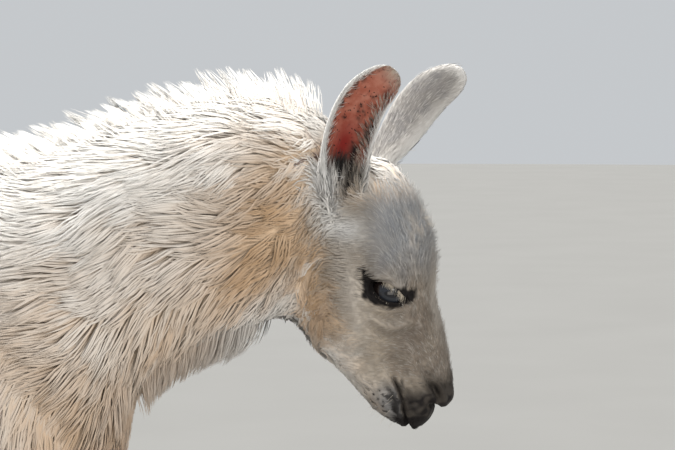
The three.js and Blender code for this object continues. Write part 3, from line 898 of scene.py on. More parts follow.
    def lie(self):
        """Which way the hair lies at each point."""
        normals, points = self.normals, self.points
        facing_up = normals[:, 2]
        side = np.where(points[:, 1] > 0, 1.0, -1.0)
        everywhere = np.ones(len(points))

        def fixed(x, y, z):
            return np.stack([x * everywhere, y * side, z * everywhere], axis=1)

        def mixed(a, b, share):
            return a + (b - a) * share[:, None]

        neck = mixed(fixed(-0.95, 0, -0.22), fixed(-0.55, 0, -0.8), fade(facing_up, 0.25, -0.5))
        neck = mixed(neck, fixed(-0.75, 0.1, 0.55), fade(facing_up, 0.35, 0.85))
        neck = mixed(neck, fixed(-0.25, 0, -1), fade(facing_up, -0.4, -0.85))
        trunk = mixed(fixed(-0.55, 0, -0.85), fixed(-0.75, 0.6, -0.1), fade(facing_up, 0.4, 0.9))
        trunk = mixed(trunk, fixed(-0.3, 0, -1), fade(normals[:, 0], 0.3, 0.7))
        leg, tail = fixed(-0.12, 0, -1), fixed(-0.35, 0, -1)
        forehead = (-0.52 * FORWARD + 0.85 * UP) * everywhere[:, None]
        cheek = (-0.93 * FORWARD + 0.1 * UP) * everywhere[:, None]
        face = mixed(cheek, forehead, fade(normals @ (0.85 * FORWARD + 0.5 * UP), 0.1, 0.6))
        face = mixed(face, neck, fade(self.head[:, 0], -55, -90))
        flows = {"head": face, "neck": neck, "trunk": trunk, "leg": leg, "foot": leg, "tail": tail}
        total = sum(flow * self.zone[zone][:, None] ** 2 for zone, flow in flows.items())
        for held, _, wide, axis, _, across in self.ear_place.values():
            spread = across * (np.sign(wide) * fade(np.abs(wide), 0.4, 1.0) * 0.5)[:, None]
            total = total * (1 - held)[:, None] + (axis + spread) * held[:, None]
        return unit(total)


# ---------------------------------------------------------------- locks

LOCK_ANGLES = np.radians([90, 210, 330])        # of the three corners round a lock
CORNERS = len(LOCK_ANGLES)
PATCH = 0.003                     # size of a lock's patch on the unwrap
PIECE_LIMIT = 190000              # triangles in a piece of coat
STRAND_SPACING = 0.38             # of strands, as a share of the clumps' spacing
HAIR_STEPS = 6                    # along a lash or a whisker


def lock_width(t):
    """Share of a lock's width along it: fullest below the middle, and a point at the end."""
    return (0.55 + t) * (1 - t) ** 0.6 * 1.4


def lock_faces(steps):
    """The root, sides and tip of one lock of rings of three points with a point at its end."""
    sides = []
    for k in range(steps - 1):
        for i in range(CORNERS):
            a, b = k * CORNERS + i, k * CORNERS + (i + 1) % CORNERS
            sides.append((a, b, b + CORNERS, a + CORNERS))
    last, end = (steps - 1) * CORNERS, steps * CORNERS
    return [(0, 2, 1)], sides, [(last + i, last + (i + 1) % CORNERS, end) for i in range(CORNERS)]


def lock_shares(steps):
    """Share along and round one lock, at each of its points."""
    along_lock = np.concatenate([np.repeat(np.arange(steps) / steps, CORNERS), [1.0]])
    return along_lock, np.concatenate([np.tile([0.5, 0.0, 1.0], steps), [0.5]])


def write_patches(mesh, spots, steps, corner_points):
    """Gives each lock a small patch of the unwrap at its spot."""
    along_lock, around = lock_shares(steps)
    patches = spots[:, None] + PATCH * (np.stack([around, along_lock], axis=1)[None] - 0.5)
    layer = mesh.uv_layers.new(name="OFBake")
    layer.data.foreach_set("uv", patches.reshape(-1, 2)[corner_points].astype(np.float32).ravel())


class Locks:
    """Tapered closed locks rooted on the skin, grouped into clumps."""

    def __init__(self, survey, weight, count, seed):
        self.survey = survey
        self.random = np.random.default_rng(seed)
        chance = np.cumsum(survey.areas * weight[survey.triangles].mean(axis=1))
        self.count = count
        picks = (np.arange(count) + self.random.random(count)) / count * chance[-1]
        self.triangle = np.minimum(np.searchsorted(chance, picks), len(chance) - 1)
        a, b = np.sqrt(self.random.random(count)), self.random.random(count)
        self.shares = np.stack([1 - a, a * (1 - b), a * b], axis=1)
        self.root = self.value(survey.points)
        self.normal = unit(self.value(survey.normals))
        self.flow = self.value(survey.flow)
        self.lie = unit(self.flow - (self.flow * self.normal).sum(axis=1)[:, None] * self.normal)

    def value(self, field):
        """A field of the skin's points, at each root."""
        corners = field[self.survey.triangles[self.triangle]]
        shares = self.shares[:, :, None] if corners.ndim == 3 else self.shares
        return (corners * shares).sum(axis=1)

    def clump(self, spacing):
        """Sorts the locks into clumps, and each clump into strands."""
        tree = KDTree(self.count)
        for i, point in enumerate(self.root):
            tree.insert(point, i)
        tree.balance()
        self.leader = self.nearest_leader(tree, spacing)
        self.strand = self.nearest_leader(tree, spacing * STRAND_SPACING)

    def nearest_leader(self, tree, spacing):
        """For each lock the nearest of some evenly strewn leaders."""
        order = self.random.permutation(self.count)
        leaders = []
        taken = np.zeros(self.count, bool)
        for i in order:
            if not taken[i]:
                leaders.append(i)
                for _, j, _ in tree.find_range(self.root[i], spacing[i]):
                    taken[j] = True
        leader_tree = KDTree(len(leaders))
        for i in leaders:
            leader_tree.insert(self.root[i], int(i))
        leader_tree.balance()
        return np.array([leader_tree.find(point)[1] for point in self.root])

    def per_lock(self):
        """A random share for each lock."""
        return self.random.random(self.count)

    def per_clump(self):
        """A random share that the locks of a clump have in common."""
        return self.per_lock()[self.leader]

    def turn(self, angles):
        """Turns the lie of each lock about the skin's normal, by an angle in radians."""
        cosine, sine = np.cos(angles)[:, None], np.sin(angles)[:, None]
        self.lie = self.lie * cosine + np.cross(self.normal, self.lie) * sine

    def paths(self, length, height, steps, gather, crimp, free, arch, sway):
        """Where each lock runs: along the skin at a growing height, with its clump."""
        run = np.sqrt(np.maximum(length ** 2 - height ** 2, (0.25 * length) ** 2))
        along_skin = [self.root]
        along_normal = [self.normal]
        for share in (0.5, 1.0):
            reach = self.root + self.lie * (run * share)[:, None]
            found = [self.survey.tree.find_nearest(point) for point in reach]
            along_skin.append(np.array([tuple(f[0]) for f in found]))
            along_normal.append(np.array([tuple(f[1]) for f in found]))
        t = (np.arange(steps + 1) / steps)[None, :, None]
        weights = ((1 - t) * (1 - 2 * t), 4 * t * (1 - t), t * (2 * t - 1))
        ground = sum(w * p[:, None, :] for w, p in zip(weights, along_skin))
        ahead = unit(along_normal[1] + along_normal[2])[:, None]
        lift = unit((1 - t) * along_normal[0][:, None] + t * ahead)
        rise = 1 - (1 - t) ** arch
        # From the skin up, with a share of the length that hangs free, then drawn to strand and clump.
        path = ground + lift * height[:, None, None] * rise
        path += self.flow[:, None, :] * (free * length)[:, None, None] * t ** 2
        path += (path[self.strand] - path) * np.minimum(1.4 * gather, 0.6)[:, None, None] * t ** 1.2
        path += (path[self.leader] - path) * gather[:, None, None] * t ** 1.6
        # A crimp along and across the lie, partly in step within a clump, and the sway of the whole clump.
        side = unit(np.cross(self.normal, self.lie))[:, None, :]
        phase = self.random.random((self.count, 1, 1)) * 2 * math.pi
        turns = 2 * math.pi * 0.4 * steps * t
        swing = np.sin(phase[self.leader] * 0.6 + phase * 0.4 + turns)
        path += side * (crimp[:, None, None] * swing * t)
        path += lift * (crimp[:, None, None] * 0.6 * np.cos(phase + turns) * t)
        path += side[self.leader] * (sway[:, None, None] * np.sin(phase[self.leader] + 3.6 * t) * t)
        return path, lift

    def build(self, name, length, width, height, steps, gather, crimp, free=0.0, arch=1.9, sway=0.0,
              flat=0.4, soft=0.85, keep=None):
        """The locks as pieces under the limit of triangles; keep is the share of a marking they take."""
        def each(value):
            return np.broadcast_to(np.asarray(value, float), (self.count,)).copy()

        path, lift = self.paths(
            each(length), each(height), steps, each(gather), each(crimp), each(free), arch, each(sway))
        tangent = unit(np.gradient(path, axis=1))
        side = unit(np.cross(lift, tangent))
        top = np.cross(tangent, side)
        breadth = each(width)[:, None] * lock_width(np.arange(steps + 1) / steps)[None, :]
        rings, shades = [], []
        for angle in LOCK_ANGLES:
            offset = side * math.cos(angle) + top * (math.sin(angle) * flat)
            outward = side * math.cos(angle) + top * math.sin(angle)
            rings.append(path[:, :-1] + offset[:, :-1] * (breadth[:, :-1, None] / 2))
            shades.append(unit(outward * (1 - soft) + lift * soft)[:, :-1])
        rings = np.stack(rings, axis=2).reshape(self.count, steps * CORNERS, 3)
        shades = np.stack(shades, axis=2).reshape(self.count, steps * CORNERS, 3)
        points = np.concatenate([rings, path[:, -1:, :]], axis=1)
        shades = np.concatenate([shades, unit(lift[:, -1:] * soft + tangent[:, -1:] * (1 - soft))], axis=1)
        root, sides, tip = lock_faces(steps)
        halves = [half for a, b, c, d in sides for half in ((a, b, c), (a, c, d))]
        faces = np.array(root + halves + tip, np.int32)
        keep = keep or {}
        marks = {mark: self.value(field) * keep.get(mark, 1) for mark, field in self.survey.marks.items()}
        tone = self.per_lock()
        marks["tone"] = 0.55 * tone + 0.45 * self.per_lock()[self.strand]
        unwrap = self.survey.unwrap[self.survey.corners[self.triangle]]
        spots = (unwrap * self.shares[:, :, None]).sum(axis=1)
        batch = PIECE_LIMIT // len(faces)
        made = []
        for start in range(0, self.count, batch):
            chosen = slice(start, start + batch)
            made.append(self.piece(
                f"{name}_{len(made) + 1}", points[chosen], shades[chosen], faces, steps,
                {mark: field[chosen] for mark, field in marks.items()}, spots[chosen]))
        return made

    def piece(self, name, points, shades, faces, steps, marks, spots):
        """One mesh of some of the locks, with their shading, markings and patches."""
        amount, per_lock = points.shape[:2]
        mesh = bpy.data.meshes.new(name)
        mesh.vertices.add(amount * per_lock)
        mesh.vertices.foreach_set("co", points.astype(np.float32).ravel())
        indices = (faces[None] + (np.arange(amount) * per_lock)[:, None, None]).reshape(-1)
        mesh.loops.add(len(indices))
        mesh.loops.foreach_set("vertex_index", indices.astype(np.int32))
        mesh.polygons.add(len(indices) // 3)
        mesh.polygons.foreach_set("loop_start", np.arange(0, len(indices), 3, dtype=np.int32))
        mesh.update(calc_edges=True)
        shade_smooth(mesh)
        write_patches(mesh, spots, steps, indices)
        for mark, field in marks.items():
            write_attribute(mesh, mark, np.repeat(field, per_lock))
        for mark, shares in zip(("along", "around"), lock_shares(steps)):
            write_attribute(mesh, mark, np.tile(shares, amount))
        mesh.normals_split_custom_set_from_vertices(shades.reshape(-1, 3))
        return new_object(name, mesh)


# ---------------------------------------------------------------- materials

class Wire:
    """A shader socket that takes part in Python arithmetic."""

    def __init__(self, finish, socket):
        self.finish = finish
        self.socket = socket

    def math(self, operation, *others):
        return self.finish.node("ShaderNodeMath", {"operation": operation}, (self,) + others)

    def __add__(self, other):
        return self.math("ADD", other)

    def __sub__(self, other):
        return self.math("SUBTRACT", other)

    def __mul__(self, other):
        return self.math("MULTIPLY", other)

    def __truediv__(self, other):
        return self.math("DIVIDE", other)

    def __pow__(self, other):
        return self.math("POWER", other)

    def __rsub__(self, other):
        return self.finish.node("ShaderNodeMath", {"operation": "SUBTRACT"}, (other, self))

    __radd__ = __add__
    __rmul__ = __mul__

    def step(self, start, end):
        """0 below start, 1 above end, smooth between."""
        settings = {"interpolation_type": "SMOOTHSTEP"}
        sockets = {"Value": self, "From Min": start, "From Max": end}
        return self.finish.node("ShaderNodeMapRange", settings, sockets)


class Finish:
    """One material, its shader and the nodes that feed it."""

    def __init__(self, name, **constants):
        self.material = bpy.data.materials.new(name)
        self.material.use_nodes = True
        self.tree = self.material.node_tree
        self.shader = self.tree.nodes["Principled BSDF"]
        for socket, value in constants.items():
            self.shader.inputs[socket.replace("_", " ")].default_value = value

    def node(self, kind, settings=None, inputs=(), output=0):
        """Adds a node, sets it, feeds its sockets and returns one of its outputs."""
        made = self.tree.nodes.new(kind)
        for name, value in (settings or {}).items():
            setattr(made, name, value)
        pairs = inputs.items() if isinstance(inputs, dict) else enumerate(inputs)
        for key, value in pairs:
            if isinstance(value, Wire):
                self.tree.links.new(value.socket, made.inputs[key])
            else:
                made.inputs[key].default_value = value
        return Wire(self, made.outputs[output])

    def attribute(self, name):
        return self.node("ShaderNodeAttribute", {"attribute_name": name}, output="Fac")

    def place(self):
        return self.node("ShaderNodeTexCoord", output="Object")

    def noise(self, scale, detail, roughness=0.5, vector=None):
        return self.node("ShaderNodeTexNoise", {}, {
            "Vector": vector or self.place(), "Scale": scale, "Detail": detail, "Roughness": roughness})

    def mix(self, share, first, second):
        """A colour between two colours."""
        return self.node("ShaderNodeMix", {"data_type": "RGBA"}, {0: share, 6: first, 7: second}, output=2)

    def vector(self, x, y, z):
        return self.node("ShaderNodeCombineXYZ", {}, (x, y, z))

    def feed(self, **sockets):
        """Links values to the shader's sockets."""
        for socket, wire in sockets.items():
            self.tree.links.new(wire.socket, self.shader.inputs[socket.replace("_", " ")])

    def bump(self, height, distance, strength):
        inputs = {"Height": height, "Distance": distance, "Strength": strength}
        self.feed(Normal=self.node("ShaderNodeBump", {}, inputs))


TINTS = {
    "bright wool": (0.95, 0.92, 0.87),
    "umber": (0.36, 0.25, 0.16),
    "fawn": (0.40, 0.34, 0.275),
    "shaded fawn": (0.19, 0.155, 0.125),
    "cool grey": (0.33, 0.345, 0.37),
    "pale fleck": (0.50, 0.45, 0.38),
    "parting": (0.17, 0.15, 0.13),
    "grizzle": (0.70, 0.67, 0.63),
    "painted highlight": (0.66, 0.60, 0.53),
    "white hair and painted light": (0.84, 0.83, 0.81),
    "bare skin": (0.33, 0.10, 0.065),
    "flushed skin": (0.42, 0.17, 0.12),
    "ear canal": (0.20, 0.018, 0.015),
    "iris": (0.008, 0.010, 0.014),
    "iris streak": (0.032, 0.036, 0.046),
    "pupil": (0.004, 0.005, 0.008),
    "eye rim": (0.012, 0.008, 0.007),
    "horn": (0.035, 0.026, 0.02),
    "horn streak": (0.10, 0.075, 0.055),
    "floor": (0.20, 0.20, 0.195),
    "floor fleck": (0.22, 0.22, 0.215),
    "daylight": (0.93, 0.965, 1.0),
}


def colour(red, green, blue):
    return (red, green, blue, 1.0)


def tint(name):
    return colour(*TINTS[name])


def coat_colour(finish, settings, tone, root):
    """The colour that skin and locks share, from the markings, painted shade and painted light they both
    carry.
    """
    # The wool darkens to tan low down and on its undersides: partly its own tan, partly painted shade.
    tan_and_shade = finish.attribute("tan_and_shade")
    wool = finish.mix(tan_and_shade, colour(*settings.wool_light), colour(*settings.shaded_tan_wool))
    wool = finish.mix((tone - 0.5).step(-0.1, 0.6) * (0.35 - tan_and_shade * 0.2), wool, tint("bright wool"))
    # Painted shade: near the roots, deep in the coat, the wool turns warm tan, standing in for the shade
    # and bounced light between the locks.
    wool = finish.mix(root * (0.32 + tan_and_shade * 0.46), wool, colour(*settings.painted_root_shade))
    wool = finish.mix(finish.attribute("umber") * 0.7, wool, tint("umber"))
    face = finish.mix(finish.attribute("shade"), tint("fawn"), tint("shaded fawn"))
    # Painted sky light on the upper face and painted shade on the back of the left ear; on the chin the
    # grey is the hair's own.
    face = finish.mix(finish.attribute("cool"), face, tint("cool grey"))
    face = finish.mix(finish.noise(55, 3).step(0.35, 0.65) * 0.18, face, tint("pale fleck"))
    face = finish.mix((1 - tone.step(0.05, 0.45)) * 0.45, face, tint("parting"))
    face = finish.mix(tone.step(0.5, 1.0) * 0.6, face, tint("grizzle"))
    shown = finish.mix(finish.attribute("face"), wool, face)
    # Painted highlights on the ridges and edges of the face.
    shown = finish.mix(finish.attribute("pale"), shown, tint("painted highlight"))
    # White hair of the ears, and painted light under the jaw and throat.
    shown = finish.mix(finish.attribute("white"), shown, tint("white hair and painted light"))
    flush = finish.mix(finish.noise(120, 3).step(0.3, 0.7), tint("bare skin"), tint("flushed skin"))
    # Painted shade deep in the ear's cup.
    flush = finish.mix(finish.attribute("deep"), flush, tint("ear canal"))
    shown = finish.mix(finish.attribute("flush"), shown, flush)
    freckles = finish.attribute("flush") * finish.noise(330, 1).step(0.66, 0.71)
    shown = finish.mix(freckles * 0.9, shown, colour(*settings.dark))
    patches = finish.attribute("dark") * finish.noise(160, 3).step(0.2, 0.45)
    return finish.mix(finish.attribute("dark") * 0.96 + patches * 0.04, shown, colour(*settings.dark))


def skin_finish(settings):
    finish = Finish("short_coat", Specular_IOR_Level=0.12)
    # The skin under the wool takes mostly the painted warm shade of the roots.
    root = finish.noise(30, 2) * 0.2 + 1.6
    finish.feed(Base_Color=coat_colour(finish, settings, finish.noise(90, 2), root))
    grain = finish.noise(900, 3, 0.6)
    finish.bump(grain + finish.noise(240, 2) * 0.8, 0.0006, 0.5)
    finish.feed(Roughness=0.8 - finish.attribute("dark") * 0.12)
    return finish.material


def lock_finish(name, settings, sheen):
    finish = Finish(name, Roughness=0.85, Sheen_Weight=sheen, Sheen_Roughness=0.5, Specular_IOR_Level=0.1)
    tone, along_lock = finish.attribute("tone"), finish.attribute("along")
    strand = finish.vector(finish.attribute("around") * 7, along_lock * 2.2, tone * 40)
    strands = finish.noise(2.4, 3, 0.6, strand)
    # Painted shade: each lock turns warmer and darker toward its root.
    root = 1 - along_lock.step(0.0, 0.75)
    finish.feed(Base_Color=coat_colour(finish, settings, tone * 0.7 + strands * 0.5, root))
    finish.bump(strands, 0.0006, 0.6)
    return finish.material


def eye_finish():
    finish = Finish("eye", Roughness=0.08, Coat_Weight=0.3, Coat_Roughness=0.03, IOR=1.36)
    along_eye, across_eye = finish.attribute("eye_along"), finish.attribute("eye_across")
    from_middle = (along_eye * along_eye + across_eye * across_eye) ** 0.5
    spoke = finish.vector(along_eye * 2 / (from_middle + 0.2), across_eye * 2 / (from_middle + 0.2), 0.0)
    streak = finish.noise(9, 3, 0.6, spoke)
    iris = finish.mix(streak, tint("iris"), tint("iris streak"))
    pupil_shape = (along_eye * along_eye * 1.8 + across_eye * across_eye * 8.4) ** 0.5
    shown = finish.mix(pupil_shape.step(0.62, 0.8), tint("pupil"), iris)
    shown = finish.mix(from_middle.step(0.93, 1.05), shown, tint("eye rim"))
    finish.feed(Base_Color=shown)
    return finish.material


def nail_finish():
    finish = Finish("horn", Roughness=0.45)
    stretch = (0.3, 3.0, 3.0)
    stretched = finish.node("ShaderNodeVectorMath", {"operation": "MULTIPLY"}, (finish.place(), stretch))
    grain = finish.noise(60, 3, 0.6, stretched)
    finish.feed(Base_Color=finish.mix(grain, tint("horn"), tint("horn streak")))
    finish.bump(grain, 0.0006, 0.5)
    finish.feed(Roughness=0.35 + grain * 0.3)
    return finish.material


def hair_finish(name, shade):
    finish = Finish(name, Roughness=0.5)
    lighter = colour(*(c * 1.5 for c in shade))
    finish.feed(Base_Color=finish.mix(finish.noise(300, 2), colour(*shade), lighter))
    return finish.material


# ---------------------------------------------------------------- eyes and lashes

GAZE = unit(np.array([0.24, 0.94, -0.14]))     # forward, outward, up
PUPIL_TILT = math.radians(14)
CORNEA = 0.0012                   # how far it stands off the eyeball
IRIS_ANGLE = 0.72                 # from the pole to the iris's edge, seen from the eyeball's middle
BEHIND = 4.0                      # how many such radii the back of the eye counts as


def eye_mesh(side):
    """An eyeball with a domed cornea, its pole along the gaze."""
    centre = EYE[side]
    gaze = unit(GAZE[0] * FORWARD + GAZE[1] * SIDES[side] * LEFTWARD + GAZE[2] * UP)
    forward = unit(FORWARD - (FORWARD @ gaze) * gaze)
    above = np.cross(gaze, forward)
    above *= np.sign(above @ UP)
    lengthwise = forward * math.cos(PUPIL_TILT) - above * math.sin(PUPIL_TILT)
    across = forward * math.sin(PUPIL_TILT) + above * math.cos(PUPIL_TILT)
    bands, around = 48, 64
    points, along_eye, across_eye = [centre + gaze * (EYE_RADIUS + CORNEA)], [0.0], [0.0]
    for band in range(1, bands):
        angle = math.pi * (band / bands) ** 1.25
        dome = CORNEA * math.exp(-(angle / 0.55) ** 4)
        for k in range(around):
            turn = 2 * math.pi * k / around
            flat = lengthwise * math.cos(turn) + across * math.sin(turn)
            direction = gaze * math.cos(angle) + math.sin(angle) * flat
            points.append(centre + direction * (EYE_RADIUS + dome))
            reach = angle / IRIS_ANGLE if angle < math.pi / 2 else BEHIND
            along_eye.append(reach * math.cos(turn))
            across_eye.append(reach * math.sin(turn))
    points.append(centre - gaze * EYE_RADIUS)
    along_eye.append(BEHIND)
    across_eye.append(0.0)
    last = len(points) - 1
    faces = [(0, 1 + k, 1 + (k + 1) % around) for k in range(around)]
    for band in range(bands - 2):
        for k in range(around):
            a, b = 1 + band * around + k, 1 + band * around + (k + 1) % around
            faces.append((a, a + around, b + around, b))
    start = 1 + (bands - 2) * around
    faces += [(last, start + (k + 1) % around, start + k) for k in range(around)]
    mesh = mesh_from(f"eyeball_{side}", points, faces)
    tidy_normals(mesh)
    write_attribute(mesh, "eye_along", along_eye)
    write_attribute(mesh, "eye_across", across_eye)
    shade_smooth(mesh)
    return mesh


def hairs(survey, name, roots, directions, bends, lengths, widths):
    """Single tapered hairs as one mesh, each with its patch at its root's place on the skin's unwrap."""
    pattern = sum(lock_faces(HAIR_STEPS), [])
    points, faces = [], []
    for root, direction, bend, length, width in zip(roots, directions, bends, lengths, widths):
        base = len(points)
        side = unit(np.cross(direction, bend + np.array([0.01, 0.02, 0.03])))
        for k in range(HAIR_STEPS):
            t = k / HAIR_STEPS
            middle = root + direction * length * t + bend * length * t * t
            ahead = unit(direction + 2 * bend * t)
            top = np.cross(side, ahead)
            for angle in LOCK_ANGLES:
                radius = width / 2 * (1 - t) ** 0.7
                points.append(middle + radius * (math.cos(angle) * side + math.sin(angle) * top))
        points.append(root + direction * length + bend * length)
        faces += [tuple(base + corner for corner in face) for face in pattern]
    mesh = mesh_from(name, points, faces)
    tidy_normals(mesh, merge=0)
    nearest = [survey.tree.find_nearest(root)[2] for root in roots]
    spots = survey.unwrap[survey.corners[nearest]].mean(axis=1)
    write_patches(mesh, spots, HAIR_STEPS, [loop.vertex_index for loop in mesh.loops])
    return new_object(name, mesh)


def lash_rows(random):
    """Roots, directions, bends, lengths and widths of the lashes: two rows of bunches, with a few below."""
    roots, directions, bends, lengths, widths = [], [], [], [], []
    for side in SIDES:
        centre = EYE[side]
        outward = LEFTWARD * SIDES[side]
        lengthwise = FORWARD * math.cos(EYE_TILT) - UP * math.sin(EYE_TILT)
        across = FORWARD * math.sin(EYE_TILT) + UP * math.cos(EYE_TILT)
        for above, amount, reach in ((True, 150, 9.5), (False, 12, 3.5)):
            for _ in range(amount):
                bunch = random.choice([-3.0, 2.0, 14.0, 16.0]) if above else random.uniform(-12, 16)
                place = np.clip(bunch + random.normal(0, 2.6), -12, 19.5)
                rim = float(slit_height(np.array([place]), np.array([above]))[0]) + random.uniform(0.2, 1.5)
                height = rim if above else -rim
                flat = math.hypot(place, height)
                out = math.sqrt(max((BALL + LID) ** 2 - flat * flat, 16.0))
                roots.append(centre + MM * (place * lengthwise + height * across + out * outward))
                lean = 0.15 + 0.03 * (place - bunch) + random.normal(0, 0.12)
                down = (-0.95 if above else -0.5) + random.normal(0, 0.08)
                directions.append(unit(outward * 0.5 + lengthwise * lean + across * down))
                bends.append(-0.2 * UP - 0.2 * outward + 0.04 * random.normal(size=3))
                lengths.append(MM * reach * random.uniform(0.5, 1.1) * (0.7 + 0.3 * fade(place, -4, 12)))
                widths.append(MM * random.uniform(0.2, 0.36))
    return roots, directions, bends, lengths, widths


def whisker_rows(survey, random):
    """Fine bristles on the chin, and a small tuft that stands out of the forehead."""
    head, normals = survey.head, survey.normals
    on_chin = (head[:, 2] < -105) & (head[:, 2] > -150) & (head[:, 0] > -50) & (head[:, 0] < 2)
    on_chin &= survey.zone["head"] > 0.6
    candidates = np.nonzero(on_chin & (normals @ UP < 0.3))[0]
    chosen = random.choice(candidates, 34, replace=False)
    wander = 0.2 * random.normal(size=(len(chosen), 3))
    directions = unit(normals[chosen] * 0.8 - 0.35 * FORWARD - 0.35 * UP + wander)
    bends = -0.15 * UP - 0.1 * FORWARD + 0.06 * random.normal(size=(len(chosen), 3))
    lengths = MM * random.uniform(6, 14, len(chosen))
    at_tuft = (np.abs(head[:, 1] + 6) < 5) & (np.abs(head[:, 2] - 78) < 5)
    tuft = random.choice(np.nonzero(at_tuft & (normals @ FORWARD > 0.4))[0], 26)
    wander = 0.16 * random.normal(size=(len(tuft), 3))
    directions = np.concatenate([directions, unit(normals[tuft] * 0.6 + 0.5 * FORWARD - 0.3 * UP + wander)])
    bends = np.concatenate([bends, -0.1 * UP + 0.05 * random.normal(size=(len(tuft), 3))])
    lengths = np.concatenate([lengths, MM * random.uniform(6, 12, len(tuft))])
    chosen = np.concatenate([chosen, tuft])
    return survey.points[chosen], directions, bends, lengths, MM * random.uniform(0.22, 0.36, len(chosen))


# ---------------------------------------------------------------- settings

class LlamaCoatSettings(bpy.types.PropertyGroup):
    fullness: bpy.props.FloatProperty(
        name="Fullness", description="Share of the full number of locks",
        default=1.0, min=0.05, max=1.0, subtype="FACTOR")
    neck_length: bpy.props.FloatProperty(
        name="Neck wool", description="Length of the locks on the neck",
        default=0.062, min=0.02, max=0.12, unit="LENGTH")
    body_length: bpy.props.FloatProperty(
        name="Body wool", description="Length of the locks on the back and sides",
        default=0.098, min=0.02, max=0.15, unit="LENGTH")
    face_length: bpy.props.FloatProperty(
        name="Face hair", description="Length of the hair on the face",
        default=0.0065, min=0.003, max=0.02, unit="LENGTH")
    wool_light: bpy.props.FloatVectorProperty(
        name="Light wool", description="Colour of the wool on top",
        default=(0.97, 0.945, 0.90), min=0, max=1, subtype="COLOR")
    # Painted shade: the warm colour that stands for the shade deep in the coat, between the locks.
    painted_root_shade: bpy.props.FloatVectorProperty(
        name="Wool at the roots", description="Colour of the wool deep in the coat",
        default=(0.90, 0.66, 0.45), min=0, max=1, subtype="COLOR")
    # Tan wool darkened with painted shade, low on the neck and body and on the undersides.
    shaded_tan_wool: bpy.props.FloatVectorProperty(
        name="Shaded wool", description="Colour of the wool low on the neck and body",
        default=(0.58, 0.38, 0.22), min=0, max=1, subtype="COLOR")
    dark: bpy.props.FloatVectorProperty(
        name="Dark markings", description="Colour of the lips, nostrils and lids",
        default=(0.013, 0.011, 0.011), min=0, max=1, subtype="COLOR")


class LlamaStageSettings(bpy.types.PropertyGroup):
    floor_radius: bpy.props.FloatProperty(
        name="Floor radius", description="Radius of the floor", default=30.0, min=1, max=100, unit="LENGTH")
    key_power: bpy.props.FloatProperty(
        name="Key light", description="Strength of the soft light from above",
        default=6.8, min=0, max=20)
    fill_power: bpy.props.FloatProperty(
        name="Fill light", description="Power of the light on the camera's side",
        default=27.0, min=0, unit="POWER")
    surround: bpy.props.FloatProperty(
        name="Surround", description="Brightness of the studio all round", default=0.6, min=0, max=5)
    bounce_power: bpy.props.FloatProperty(
        name="Bounce", description="Power of the weak light from low on the camera's side",
        default=8.5, min=0, unit="POWER")


# ---------------------------------------------------------------- operators

class Made:
    """What the operators share: the survey of the finished skin."""
    survey = None


def need_survey():
    if Made.survey is None:
        raise RuntimeError("The skin has to be made first")
    return Made.survey


def rides(pieces, material):
    """Gives pieces their material, and says what they ride on."""
    for piece in pieces:
        piece.data.materials.clear()
        piece.data.materials.append(material)
        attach(piece, "root")


def locks_of(survey, settings, weight, count, seed, spacing):
    """Locks strewn where the weight lies, in clumps of the spacing."""
    count = max(int(count * settings.fullness), 50)
    locks = Locks(survey, weight, count, seed)
    locks.clump(locks.value(spacing) if isinstance(spacing, np.ndarray) else np.full(count, spacing))
    return locks


class LLAMA_OT_skin(bpy.types.Operator):
    """Make the skin with its ears, and survey it for the coat"""
    bl_idname = "llama.skin"
    bl_label = "Skin"

    def execute(self, context):
        mesh = add_ears(build_skin())
        with opened(mesh) as work:
            bmesh.ops.triangulate(work, faces=work.faces)
        shade_smooth(mesh)
        mesh.name = "skin"
        piece = new_object("skin", mesh)
        unwrap_skin(piece)
        Made.survey = Survey(mesh)
        for mark, field in Made.survey.marks.items():
            write_attribute(mesh, mark, field)
        rides([piece], skin_finish(context.scene.llama_coat))
        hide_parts(*FLESH, "ear_right", "ear_left")
        return {"FINISHED"}


def unwrap_skin(piece):
    """Unwraps the skin in charts that follow its own shape."""
    mesh = piece.data
    layer = mesh.uv_layers.new(name="OFBake")
    mesh.uv_layers.active = layer
    bpy.context.view_layer.objects.active = piece
    piece.select_set(True)
    bpy.ops.object.mode_set(mode="EDIT")
    bpy.ops.mesh.select_all(action="SELECT")
    bpy.ops.uv.smart_project(angle_limit=math.radians(75), island_margin=0.002)
    bpy.ops.object.mode_set(mode="OBJECT")
    piece.select_set(False)


class LLAMA_OT_eyes(bpy.types.Operator):
    """Make the eyeballs, lashes and whiskers"""
    bl_idname = "llama.eyes"
    bl_label = "Eyes and lashes"

    def execute(self, context):
        material = eye_finish()
        for side, node in (("right", "eye_right"), ("left", "eye_left")):
            piece = new_object(f"eyeball_{side}", eye_mesh(side))
            rides([piece], material)
            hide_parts(node)
        survey, random = need_survey(), np.random.default_rng(21)
        lashes = hairs(survey, "lashes", *lash_rows(random))
        rides([lashes], hair_finish("lash_hair", shade=(0.42, 0.37, 0.30)))
        whiskers = hairs(survey, "whiskers", *whisker_rows(survey, random))
        rides([whiskers], hair_finish("whisker_hair", shade=(0.5, 0.45, 0.38)))
        return {"FINISHED"}


